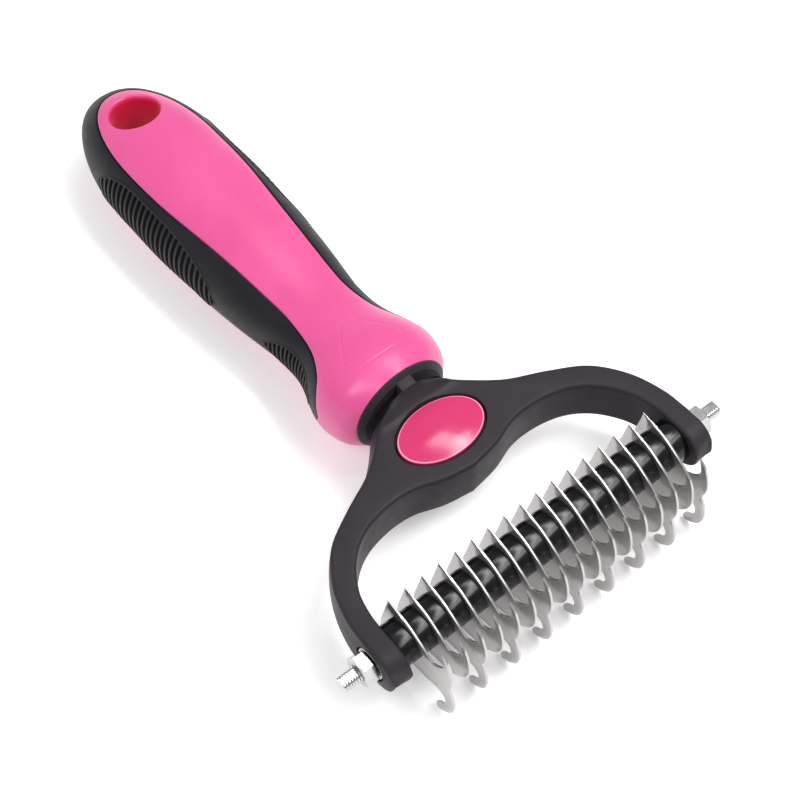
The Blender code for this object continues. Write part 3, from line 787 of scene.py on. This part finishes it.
def tang_sections(clearance=0.0):
    """Sections of the barbed tang behind the collar: Y, half width and half height."""
    sections = [(COLLAR_REAR_Y, 6.8, 5.2)]
    for barb_y in (58.0, 68.0):
        sections.append((barb_y, 6.7, 5.1))
        sections.append((barb_y + 0.2, 7.3, 5.7))
        sections.append((barb_y + 3.0, 6.6, 5.0))
    sections.append((TANG_END_Y - 1.5, 6.3, 4.8))
    sections.append((TANG_END_Y, 5.3, 3.8))
    return [(y, half_x + clearance, half_z + clearance) for y, half_x, half_z in sections]


def square_ring(y, half_x, half_z, angles, power):
    """Ring across the Y axis: an ellipse, or squarer with a higher power."""
    across = np.cos(angles)
    up = np.sin(angles)
    x = half_x * np.sign(across) * np.abs(across) ** (2 / power)
    z = half_z * np.sign(up) * np.abs(up) ** (2 / power)
    return np.stack([x, np.full(len(angles), y), z], axis=1)


def handle_core():
    shell = Shell()
    ys = core_rows()
    fronts = []
    for side in (1, -1):
        rows = []
        for y in ys:
            start = math.acos(min(strip_half(y) / float(half_width(y)), 1.0))
            turn = np.linspace(start, math.pi - start, TOP_COLUMNS + 1)
            rows.append(surface_row(half_width(y) * np.cos(turn), y, side))
        rows = np.array(rows)
        if side == 1:
            line = thumb_distance(rows[:, :, 0], rows[:, :, 1])
            rows[:, :, 2] -= THUMB_DEPTH * (1 - ease(line, THUMB_LINE * 0.4, THUMB_LINE * 1.3))
        shell.grid(rows)
        fronts.append(rows[0])
        build_rear(shell, ys, rows[-1], side)
    band_ys = [y for y in ys if y >= STRIP_TIP_Y - 0.001]
    skin, depths = band(stations(band_ys, REAR_STEPS), recess_columns)
    depths[[0, -1]] = 0
    shell.grid(skin - depths[:, :, None] * outward(skin))
    front = np.concatenate([fronts[0], fronts[1][-2:0:-1]])
    _, front_x, front_z, _ = HANDLE_STATIONS[0]
    angles = np.arctan2(front[:, 2] / front_z, front[:, 0] / front_x)
    rings = [front]
    for y, half_x, half_z in socket_sections():
        rings.append(square_ring(y, half_x, half_z, angles, TANG_SQUARENESS))
    shell.grid(rings, wrap=True)
    shell.cap(rings[-1])
    return put("handle_core_look", shell.mesh("handle_core"))


def build_rear(shell, ys, last_row, side):
    """The strip's round end with the hanging hole's rim, and half of the hole's wall."""
    edges = [edge for edge, _ in stations(ys[-1:], REAR_STEPS)]
    right = [surface_row(x, y, side) for x, y in edges]
    left = [point * np.array([-1, 1, 1]) for point in right[-2::-1]]
    outer = np.concatenate([last_row[::-1], np.array(right[1:] + left[:-1])])
    centre = np.array([0.0, HOLE_Y])
    away = outer[:, :2] - centre
    away /= np.linalg.norm(away, axis=1, keepdims=True)
    rim = centre + HOLE_RIM_RADIUS * away
    rings = []
    for share in np.linspace(0, 1, 27) ** 0.8:
        plan = outer[:, :2] + (rim - outer[:, :2]) * share
        rings.append(surface_row(plan[:, 0], plan[:, 1], side))
    rim_z = rings[-1][:, 2]
    for degrees in range(9, 91, 9):
        turn = math.radians(degrees)
        radius = HOLE_RIM_RADIUS - (HOLE_RIM_RADIUS - HOLE_RADIUS) * math.sin(turn)
        plan = centre + radius * away
        z = rim_z - side * HOLE_RIM_DEPTH * (1 - math.cos(turn))
        rings.append(np.column_stack([plan, z]))
    top = rings[-1]
    foot = top.copy()
    foot[:, 2] = middle_height(HOLE_Y)
    for share in np.linspace(0, 1, 7)[1:]:
        rings.append(top * (1 - share) + foot * share)
    shell.grid(rings, wrap=True)


# ---- soft grip ----

def leaf_inside(leaf, y, degrees):
    """How far a point of the grip lies inside a rib field's outline, in millimetres."""
    guides = np.array(leaf, dtype=float)
    limit = np.interp(y, guides[:, 0], guides[:, 1], left=-30, right=-30)
    reach = np.radians(limit - degrees) * LEAF_RADIUS
    ends = np.minimum(y - guides[0, 0], guides[-1, 0] - y) * 1.3
    return np.minimum(reach, ends)


def rib_depth(points):
    """Depth of the rib grooves and, below zero, height of the bead round each rib field."""
    y = points[..., 1]
    rise = np.abs(points[..., 2] - middle_height(y)) / np.maximum(half_height(y), 1e-6)
    degrees = np.degrees(np.arcsin(np.clip(rise, 0, 1) ** (squareness(y) / 2)))
    depth = np.zeros_like(y)
    for leaf, pitch in ((LARGE_LEAF, LARGE_PITCH), (SMALL_LEAF, SMALL_PITCH)):
        inside = leaf_inside(leaf, y, degrees)
        phase = np.mod((y - leaf[0][0]) / pitch, 1.0)
        groove = ease(phase, RIB_STEPS[1], RIB_STEPS[2]) - ease(phase, RIB_STEPS[4], RIB_STEPS[5])
        size = min(pitch / LARGE_PITCH, 1.0) ** 0.5
        depth += RIB_DEPTH * size * groove * ease(inside, *RIB_START)
        depth -= BEAD_HEIGHT * size * np.exp(-(inside / BEAD_WIDTH) ** 2)
    return depth


def grip_columns(length):
    """Ring of the grip's section: round lip, outside, round lip and inside."""
    start = LIP_ROUND + GROOVE_WIDTH
    lip = min(LIP_ROUND, (length - 2 * start) / 2.5)
    depth = min(GRIP_THICKNESS, length / 4)
    turns = np.radians(np.linspace(90, 0, LIP_STEPS + 1))
    near = start + lip * (1 - np.sin(turns))
    near_depth = lip * (1 - np.cos(turns))
    face = np.linspace(start + lip, length - start - lip, GRIP_COLUMNS + 1)[1:-1]
    back = np.linspace(length - start, start, BACK_COLUMNS)
    along = np.concatenate([near, face, length - near[::-1], back])
    depths = np.concatenate([near_depth, face * 0, near_depth[::-1], back * 0 + depth])
    return along, depths


def rib_rows(leaf, pitch):
    """Y of the rows over a rib field, with rows at the edges of every rib."""
    rows = []
    y = leaf[0][0]
    while y < leaf[-1][0]:
        rows += [y + step * pitch for step in RIB_STEPS]
        y += pitch
    return rows


def grip_overmould():
    tip = [y for y in nose_rows(14) if y > STRIP_TIP_Y + 0.15]
    small = rib_rows(SMALL_LEAF, SMALL_PITCH)
    large = rib_rows(LARGE_LEAF, LARGE_PITCH)
    waist = list(np.linspace(small[-1] + 0.4, large[0] - 0.4, 22))
    ys = tip + small + waist + large
    skin, depths = band(stations(ys, 90), grip_columns)
    normals = outward(skin)
    outside = slice(LIP_STEPS + 1, LIP_STEPS + GRIP_COLUMNS)
    depths[:, outside] += rib_depth(skin[:, outside])
    back = 2 * (LIP_STEPS + 1) + GRIP_COLUMNS - 1
    opposite = np.linspace(back - 1, 0, BACK_COLUMNS).astype(int)
    normals[:, back:] = outward(skin[:, :back])[:, opposite]
    mesh = lofted(skin - depths[:, :, None] * normals).mesh("grip_overmould")
    return put("grip_overmould_look", mesh)


# ---- head frame ----

def plan_right(points):
    """Unit vectors in plan that point to the right of the way along a row of points."""
    way = np.gradient(points[:, :2], axis=0)
    way /= np.maximum(np.linalg.norm(way, axis=1, keepdims=True), 1e-9)
    return np.column_stack([way[:, 1], -way[:, 0]])


def nose_levels():
    """Y and half height of the rows over an arm's round end."""
    rows = []
    for degrees in list(range(0, 80, 8)) + [80, 85, 88, 90]:
        turn = math.radians(degrees)
        y = ARM_NOSE_Y - ARM_NOSE_RADIUS * math.sin(turn)
        z = min(ARM_NOSE_RADIUS * math.cos(turn), PLATE_HALF_Z)
        rows.append((y, z))
    return rows


def arm_outer_x(y):
    """Outer side of the arm, with its round corner at the end, at the upper edge."""
    corner_y = ARM_NOSE_Y - ARM_NOSE_RADIUS - 0.5 + ARM_CORNER_RADIUS
    x = ARM_OUTER_X - ARM_CROWN
    if y < corner_y:
        drop = corner_y - y
        x -= ARM_CORNER_RADIUS - math.sqrt(ARM_CORNER_RADIUS ** 2 - drop ** 2)
    return x


def wall_rows(edge, bulge, inward):
    """Rounded upper edge and bulging wall below it, down to Z = 0, as rows along the edge."""
    rows = []
    radius = np.minimum(EDGE_ROUND, edge[:, 2] * 0.45)
    for step in range(EDGE_STEPS + 1):
        turn = math.radians(90 * step / EDGE_STEPS)
        inset = radius * (1 - math.sin(turn))
        drop = radius * (1 - math.cos(turn))
        plan = edge[:, :2] + inward * inset[:, None]
        rows.append(np.column_stack([plan, edge[:, 2] - drop]))
    for step in range(1, WALL_STEPS + 1):
        share = step / WALL_STEPS
        plan = edge[:, :2] + bulge * math.sin(math.pi / 2 * share)
        rows.append(np.column_stack([plan, (edge[:, 2] - radius) * (1 - share)]))
    return np.array(rows)


def bow_walls(levels):
    """Rows of the outer and the inner wall of the bow's right half, round the arm's end."""
    nose = [(arm_outer_x(y), y, z, ARM_CROWN * z / PLATE_HALF_Z, 0.0) for y, z in levels]
    outer = np.array(smooth_curve(EDGE_GUIDES, BOW_STEPS) + nose)
    inner_nose = [(ARM_INNER_X, y, z) for y, z in reversed(levels)]
    inner_curve = smooth_curve(INNER_GUIDES, BOW_STEPS)
    inner = np.array(inner_nose + [(x, y, PLATE_HALF_Z) for x, y in inner_curve])
    outer_in = plan_right(outer)
    outer_in[[0, -1]] = (-1.0, 0.0)
    inner_in = plan_right(inner)
    inner_in[[0, -1]] = ((1.0, 0.0), (0.0, 1.0))
    outer_rows = wall_rows(outer[:, :3], outer[:, 3:], outer_in)
    return outer_rows, wall_rows(inner, np.zeros((len(inner), 2)), inner_in)


def ramp_rows(rim):
    """Rows across the bow's top between its two upper edges, where it rises into the neck."""
    share = np.linspace(-1, 1, RAMP_COLUMNS)
    foot_y = rim[-1][1]
    rows = []
    for x, y, z in rim:
        t = max((y - foot_y) / (NECK_FRONT_Y - foot_y), 0.0)
        top = PLATE_HALF_Z + (NECK_TOP_Z - PLATE_HALF_Z) * t ** RAMP_POWER
        height = z + (top - z) * (1 - share ** 2)
        rows.append(np.column_stack([x * share, np.full(RAMP_COLUMNS, y), height]))
    return np.array(rows)


def bow_shell():
    """The bow with its two arms, closed, up to the front wall of the neck's slots."""
    levels = nose_levels()
    outer_rows, inner_rows = bow_walls(levels)
    rim = outer_rows[0]
    inner_rim = inner_rows[0]
    ramp_end = RAMP_SPANS * BOW_STEPS
    arm_start = len(rim) - len(levels)
    inner_start = len(levels) - 1
    share = np.linspace(0, 1, ARM_COLUMNS)[:, None]
    nose = zip(rim[arm_start:], inner_rim[inner_start::-1])
    arm = np.array([out * (1 - share) + inside * share for out, inside in nose])

    shell = Shell()
    flips = [np.array([mirror, 1, under]) for mirror in (1, -1) for under in (1, -1)]
    for flip in flips:
        for rows in (outer_rows, inner_rows, arm):
            shell.grid(rows * flip)
    ramp = ramp_rows(rim[:ramp_end + 1])
    half = np.concatenate([rim[ramp_end:arm_start + 1], arm[0][1:-1], inner_rim[inner_start:]])
    left = half[-2::-1] * np.array([-1, 1, 1])
    plate = np.concatenate([half, left, ramp[-1][1:-1]])
    for under in (1, -1):
        shell.grid(ramp * np.array([1, 1, under]))
        shell.cap(plate * np.array([1, 1, under]))
    quarter = np.concatenate([ramp[0], outer_rows[1:, 0]])
    ring = np.concatenate([quarter * flip for flip in flips])
    turns = np.mod(np.arctan2(ring[:, 2], ring[:, 0]), 2 * math.pi)
    order = np.unique(np.round(turns, 6), return_index=True)[1]
    shell.cap(ring[order])
    return shell


def neck_shell():
    """The neck behind the slots' front wall: core, collar and barbed tang."""
    angles = np.linspace(0, 2 * math.pi, 96, endpoint=False)
    sections = [
        (NECK_FRONT_Y - 1.5, 6.0, 6.0),
        (NECK_FRONT_Y - 0.02, 6.2, 6.2),
        (NECK_FRONT_Y - 0.015, 11.2, NECK_TOP_Z),
        (NECK_REAR_Y + 0.1, 11.35, 11.3),
        (NECK_REAR_Y + 0.25, 11.6, 11.55),
        (COLLAR_REAR_Y - 0.25, COLLAR_RADIUS - 0.12, COLLAR_RADIUS - 0.12),
        (COLLAR_REAR_Y - 0.1, COLLAR_RADIUS, COLLAR_RADIUS),
        (COLLAR_REAR_Y, COLLAR_RADIUS - 0.05, COLLAR_RADIUS - 0.05),
    ]
    rings = [square_ring(*section, angles, 2.0) for section in sections]
    for y, half_x, half_z in tang_sections():
        rings.append(square_ring(y, half_x, half_z, angles, TANG_SQUARENESS))
    return lofted(rings)


def slot_shell(side):
    """Cutter of one slot in the neck, round the core, leaving the web in the middle."""
    core_spread = math.degrees(math.acos(NECK_WEB_HALF_WIDTH / NECK_CORE_RADIUS))
    air_radius = 20.0
    air_spread = math.degrees(math.acos(NECK_WEB_HALF_WIDTH / air_radius))
    outside = arc((0, 0), air_radius, -air_spread, air_spread, 16)
    inside = arc((0, 0), NECK_CORE_RADIUS, core_spread, -core_spread, 32)
    outline = outside + inside
    rings = [[(side * x, y, z) for x, z in outline] for y in (NECK_FRONT_Y, NECK_REAR_Y)]
    return lofted(rings)


def head_frame():
    item = put("head_frame_look", bow_shell().mesh("head_frame"))
    cutters = []

    def add(name, cutter_shell, operation="DIFFERENCE"):
        cutters.append((put(name, cutter_shell.mesh(name)), operation))

    add("neck", neck_shell(), "UNION")
    for side in (1, -1):
        add(f"slot_{side}", slot_shell(side))
        floor = side * (ARM_OUTER_X - POCKET_DEPTH)
        mouth = side * (ARM_OUTER_X - 0.25)
        profile = [(floor, 0.0), (floor, POCKET_RADIUS), (mouth, POCKET_RADIUS),
                   (side * (ARM_OUTER_X + 0.15), POCKET_RADIUS + 0.4),
                   (side * CUT_REACH, POCKET_RADIUS + 0.4), (side * CUT_REACH, 0.0)]
        add(f"pocket_{side}", turned(profile))
    bore = double_d(AXLE_RADIUS + FRAME_BORE_GAP, AXLE_HALF_FLATS + FRAME_BORE_GAP, 36)
    add("bore", lofted([[(x, y, z) for y, z in bore] for x in (-CUT_REACH, CUT_REACH)]))
    seat_x = BADGE_HALF_X + BADGE_GROOVE
    seat_y = BADGE_HALF_Y + BADGE_GROOVE
    seat = [(0.0, BADGE_BASE_Z - 0.3), (0.0, PLATE_HALF_Z - 0.15),
            (0.15, PLATE_HALF_Z + 0.03), (0.2, 12.0)]
    add("seat", lofted([oval(seat_x + more, seat_y + more, z) for more, z in seat]))
    combine(item, cutters)
    return item


# ---- badge ----

def badge():
    """Domed oval with a round rim."""
    levels = [(0.0, BADGE_BASE_Z), (0.0, BADGE_RIM_Z - BADGE_ROUND)]
    for degrees in range(15, 91, 15):
        turn = math.radians(degrees)
        inset = BADGE_ROUND * (1 - math.cos(turn))
        levels.append((inset, BADGE_RIM_Z - BADGE_ROUND * (1 - math.sin(turn))))
    rings = [oval(BADGE_HALF_X - inset, BADGE_HALF_Y - inset, z) for inset, z in levels]
    half_x = BADGE_HALF_X - BADGE_ROUND
    half_y = BADGE_HALF_Y - BADGE_ROUND
    for scale in np.linspace(1, 0, 18)[1:-1]:
        z = BADGE_RIM_Z + BADGE_CROWN * (1 - scale ** 2)
        rings.append(oval(half_x * scale, half_y * scale, z))
    return put("badge_look", lofted(rings).mesh("badge"))


# ---- blade pack and fasteners ----

def blade_outline(is_long):
    """(Y, Z) outline of a blade. A long blade has a hooked lower tooth under its chin."""
    upper_tooth = smooth_curve([(-8.9, 1.6), (-11.3, 3.5), (-12.8, 6.6), (-11.9, 10.6)], 7)
    top_edge = smooth_curve([(6.2, 8.2), (2.6, 7.5), (-1.4, 6.3), (-5.4, 4.1), (-8.9, 1.6)], 5)
    front_edge = [(-11.9, 10.6), (-13.9, 8.6), (-15.2, 5.2), (-15.5, 1.4)]
    if is_long:
        chin = smooth_curve(front_edge + [(-14.6, -2.2)], 6)
        tooth_front = [(-14.6, -2.2), (-15.9, -4.8), (-16.5, -8.2), (-15.8, -12.0)]
        tooth_front += [(-13.6, -14.6), (-11.4, -15.9)]
        tooth_rear = [(-11.4, -15.9), (-10.7, -14.5), (-11.5, -12.9), (-13.1, -11.4)]
        tooth_rear += [(-13.8, -9.2), (-12.9, -7.3), (-10.8, -6.8), (-7.6, -7.8)]
        front = chin[:-1] + smooth_curve(tooth_front, 6)[:-1] + smooth_curve(tooth_rear, 6)
    else:
        front = smooth_curve(front_edge + [(-14.5, -2.4), (-11.6, -5.8), (-7.6, -7.8)], 6)
    under_edge = smooth_curve([(-7.6, -7.8), (-3.0, -8.5), (3.0, -8.6), (8.6, -6.6)], 5)
    rear_edge = smooth_curve([(8.6, -6.6), (8.1, -2.0), (7.0, 3.3), (6.2, 8.2)], 5)
    outline = top_edge[:-1] + upper_tooth[:-1] + front[:-1] + under_edge[:-1] + rear_edge[:-1]
    outline = np.array(outline)
    outline[:, 0] = np.maximum(outline[:, 0], span("long_blade_1", 1)[0])
    outline[:, 1] = np.maximum(outline[:, 1], span("long_blade_1", 2)[0])
    return outline


def inset_outline(outline, distance):
    """A closed outline moved inward, with the move at sharp corners kept short."""
    before = outline - np.roll(outline, 1, axis=0)
    after = np.roll(outline, -1, axis=0) - outline
    before /= np.linalg.norm(before, axis=1, keepdims=True)
    after /= np.linalg.norm(after, axis=1, keepdims=True)
    normal = np.column_stack([-(before + after)[:, 1], (before + after)[:, 0]])
    size = np.linalg.norm(normal, axis=1, keepdims=True)
    normal /= np.maximum(size, 1e-6)
    stretch = np.minimum(2 / np.maximum(size, 1e-6), 2.5)
    turning = before[:, 0] * after[:, 1] - before[:, 1] * after[:, 0]
    sense = 1 if turning.sum() > 0 else -1
    return outline + sense * distance * stretch * normal


def blade_mesh(name, is_long):
    """Plate with chamfered edges, ground to an edge near the point of its rear tooth."""
    outline = blade_outline(is_long)
    half = BLADE_THICKNESS / 2
    chamfer = BLADE_CHAMFER
    plain = [(-half, chamfer), (-half + 0.3 * chamfer, 0.3 * chamfer), (-half + chamfer, 0.0)]
    sharp = [(-half, GROUND_WIDTH), (-half * 0.5, GROUND_WIDTH * 0.4), (-GROUND_LAND / 2, 0.0)]
    levels = [(1, *pair) for pair in zip(plain, sharp)]
    levels += [(-1, flat, edge) for _, flat, edge in reversed(levels)]
    away = np.linalg.norm(outline - outline[0], axis=1)
    ground = 1 - ease(away, *GROUND_REACH)
    shell = Shell()
    rows = []
    for side, flat, edge in levels:
        x = flat[0] + (edge[0] - flat[0]) * ground
        inset = flat[1] + (edge[1] - flat[1]) * ground
        rows.append(np.column_stack([side * x, inset_outline(outline, inset[:, None])]))
    shell.grid(rows, wrap=True)
    hole = double_d(AXLE_RADIUS + BLADE_HOLE_GAP, AXLE_HALF_FLATS + BLADE_HOLE_GAP, 30)
    shell.grid([[(x, y, z) for y, z in hole] for x in (-half, half)], wrap=True)
    return shell.mesh(name, fill_x=(-half, half), sharp_angle=28)


def rounded_ring(half, bore, radius, corner):
    """Profile of a ring with round outer edges: X and radius."""
    right = arc((half - corner, radius - corner), corner, 0, 90, 5)
    left = arc((corner - half, radius - corner), corner, 90, 180, 5)
    return [(-half, bore), (half, bore)] + right + left


def nut_mesh():
    """Hexagon nut with cone chamfers on both faces."""
    half = NUT_THICKNESS / 2
    flat = NUT_ACROSS_FLATS / 2
    levels = [depth - half for depth in NUT_LEVELS] + [half - depth for depth in NUT_LEVELS[::-1]]
    bore = [(half, BORE_RADIUS + BORE_CHAMFER), (half - BORE_CHAMFER, BORE_RADIUS)]
    bore += [(-x, radius) for x, radius in reversed(bore)]
    cones = [flat * NUT_FACE_SHARE + (half - abs(level)) * NUT_CONE_SLOPE for level in levels]
    shell = Shell()
    rows = []
    for side in range(NUT_SIDES + 1):
        degrees = 360 / NUT_SIDES * side
        hexagon = flat / math.cos(math.radians(degrees % 60 - 30))
        outside = [(level, min(hexagon, cone)) for level, cone in zip(levels, cones)]
        rows.append(about_x(bore + outside, math.radians(degrees)))
    shell.grid(rows, wrap=True)
    return shell.mesh("nut", sharp_angle=24)


def axle():
    """Double-D rod with a shallow thread on the round sides of its ends."""
    sides = 64
    end = AXLE_HALF_LENGTH
    start = end - THREAD_LENGTH
    thread_start = start + 0.3
    steps = int(THREAD_LENGTH / THREAD_PITCH * 8)
    right = list(np.linspace(start, end, steps + 1)) + [end]
    right.insert(-2, end - AXLE_END_ROUND)
    xs = sorted([-x for x in right]) + sorted(right)
    rings = []
    last = len(xs) - 1
    for index, x in enumerate(xs):
        ring = []
        for side in range(sides):
            turn = 2 * math.pi * side / sides
            phase = (x / THREAD_PITCH - turn / (2 * math.pi)) % 1.0
            cut = THREAD_DEPTH * abs(2 * phase - 1) ** 1.5 if abs(x) > thread_start else 0.0
            radius = AXLE_RADIUS - cut
            flats = AXLE_HALF_FLATS
            if index in (0, last):
                radius -= AXLE_END_INSET
                flats -= AXLE_END_ROUND
            elif abs(x) >= end - AXLE_END_ROUND:
                radius = min(radius, AXLE_RADIUS - 0.02)
            z = radius * math.sin(turn)
            ring.append((x, radius * math.cos(turn), min(max(z, -flats), flats)))
        rings.append(ring)
    return put("axle_look", lofted(rings).mesh("axle", sharp_angle=30))


def build_blade_pack():
    meshes = {"long": blade_mesh("long_blade", True), "short": blade_mesh("short_blade", False)}
    blades = [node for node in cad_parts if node.startswith(("long_blade", "short_blade"))]
    for node in blades:
        item = put_on_axle(node, meshes[node.split("_")[0]])
        stand_for(item, node, "tool", BLADE_STEEL)
    centres = sorted(middle(node)[0] for node in blades)
    gap = centres[1] - centres[0] - BLADE_THICKNESS
    end_gap = ARM_INNER_X - centres[-1] - BLADE_THICKNESS / 2
    lengths = {"spacer": gap - 2 * BLADE_CLEARANCE, "end": end_gap - 2 * BLADE_CLEARANCE}
    rings = {}
    for kind, length in lengths.items():
        profile = rounded_ring(length / 2, BORE_RADIUS, SPACER_RADIUS, SPACER_ROUND)
        rings[kind] = turned(profile).mesh(kind + "_ring")
    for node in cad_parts:
        if node.startswith(("spacer", "end_spacer")):
            item = put_on_axle(node, rings[node.split("_")[0]])
            stand_for(item, node, "tool", SLEEVE)


def build_fasteners():
    nut = nut_mesh()
    profile = rounded_ring(WASHER_THICKNESS / 2, BORE_RADIUS, WASHER_RADIUS, WASHER_ROUND)
    washer = turned(profile).mesh("washer")
    for side in ("left", "right"):
        for kind, mesh in (("nut", nut), ("washer", washer)):
            node = f"{kind}_{side}"
            item = put_on_axle(node, mesh)
            stand_for(item, node, f"{side}_{kind}", ZINC)


# ---- assembly ----

def build_tool():
    single_pieces = [
        (handle_core, "pink_plastic", PINK),
        (grip_overmould, "black_rubber", RUBBER),
        (head_frame, "frame_plastic", FRAME_PLASTIC),
        (badge, "badge_plastic", BADGE_PINK),
        (axle, "zinc_steel", ZINC),
    ]
    for make, slot_name, material in single_pieces:
        stand_for(make(), make.__name__, "tool", material)
    build_blade_pack()
    build_fasteners()


# ---- stage, light and camera ----

def build_floor():
    mesh = bpy.data.meshes.new("floor")
    half = 3.0
    corners = [(-half, -half, 0), (half, -half, 0), (half, half, 0), (-half, half, 0)]
    mesh.from_pydata(corners, [], [(0, 1, 2, 3)])
    floor = put("floor", mesh, (0, 0, cad_low[2]))
    material, tree = new_material("glowing_floor_paper")
    shader = tree.nodes["Principled BSDF"]
    place = texture_place(tree)
    fibres = noise(tree, place, 900.0, 4.0)
    tint = tinted(tree, fibres, (0.90, 0.895, 0.895), (0.93, 0.925, 0.925))
    tree.links.new(tint, shader.inputs["Base Color"])
    # Painted light: the floor glows in its own colour, which lifts the shadows on it and lights
    # the tool from below.
    tree.links.new(tint, shader.inputs["Emission Color"])
    shader.inputs["Emission Strength"].default_value = 0.27
    shader.inputs["Roughness"].default_value = 0.8
    mesh.materials.append(material)


def area_light(name, place, aim, size, power):
    """Soft rectangular light at a place and aimed at another, both in metres."""
    data = bpy.data.lights.new(name, "AREA")
    data.shape = "RECTANGLE"
    data.size, data.size_y = size
    data.energy = power
    lamp = bpy.data.objects.new(name, data)
    lamp.location = Vector(place)
    lamp.rotation_euler = (Vector(aim) - Vector(place)).to_track_quat("-Z", "Y").to_euler()
    bpy.context.scene.collection.objects.link(lamp)


# Panes of the window over the tool, in degrees up from the level at the handle's end
WINDOW_PANES = 4
WINDOW_LOWEST = 88
WINDOW_STEP = 12.5


def build_light():
    world = bpy.data.worlds.new("studio")
    world.use_nodes = True
    background = world.node_tree.nodes["Background"]
    background.inputs["Color"].default_value = (1.0, 0.995, 0.995, 1)
    background.inputs["Strength"].default_value = 0.55
    bpy.context.scene.world = world
    for pane in range(WINDOW_PANES):
        turn = math.radians(WINDOW_LOWEST + WINDOW_STEP * pane)
        place = (0.38, math.cos(turn), math.sin(turn))
        area_light(f"window_{pane}", place, aim=(0, -0.08, 0), size=(0.6, 0.15), power=2.6)
    area_light("side_window", (-0.62, -0.12, 0.8), aim=(0, -0.05, 0), size=(0.3, 0.6), power=3.2)


VIEW_BACK = Vector((-0.35262, -0.42801, 0.83215))
VIEW_RIGHT = Vector((0.77193, -0.63570, 0.00013))
VIEW_DISTANCE = 430.26  # from the axle's middle to the lens, along the line of sight
VIEW_SHIFT = (30.34, -31.34)  # the axle's middle from the line of sight, to the right and up
LENS = 86.94


def build_camera():
    data = bpy.data.cameras.new("camera")
    data.lens = LENS
    data.clip_start = 0.01
    data.clip_end = 20
    camera = bpy.data.objects.new("camera", data)
    back = VIEW_BACK.normalized()
    right = (VIEW_RIGHT - VIEW_RIGHT.dot(back) * back).normalized()
    up = back.cross(right)
    place = back * VIEW_DISTANCE - right * VIEW_SHIFT[0] - up * VIEW_SHIFT[1]
    turn = Matrix((right, up, back)).transposed().to_4x4()
    camera.matrix_world = Matrix.Translation(on_axle(place)) @ turn
    bpy.context.scene.collection.objects.link(camera)
    bpy.context.scene.camera = camera


build_tool()
build_floor()
build_light()
build_camera()
bpy.context.scene.view_settings.view_transform = "Standard"
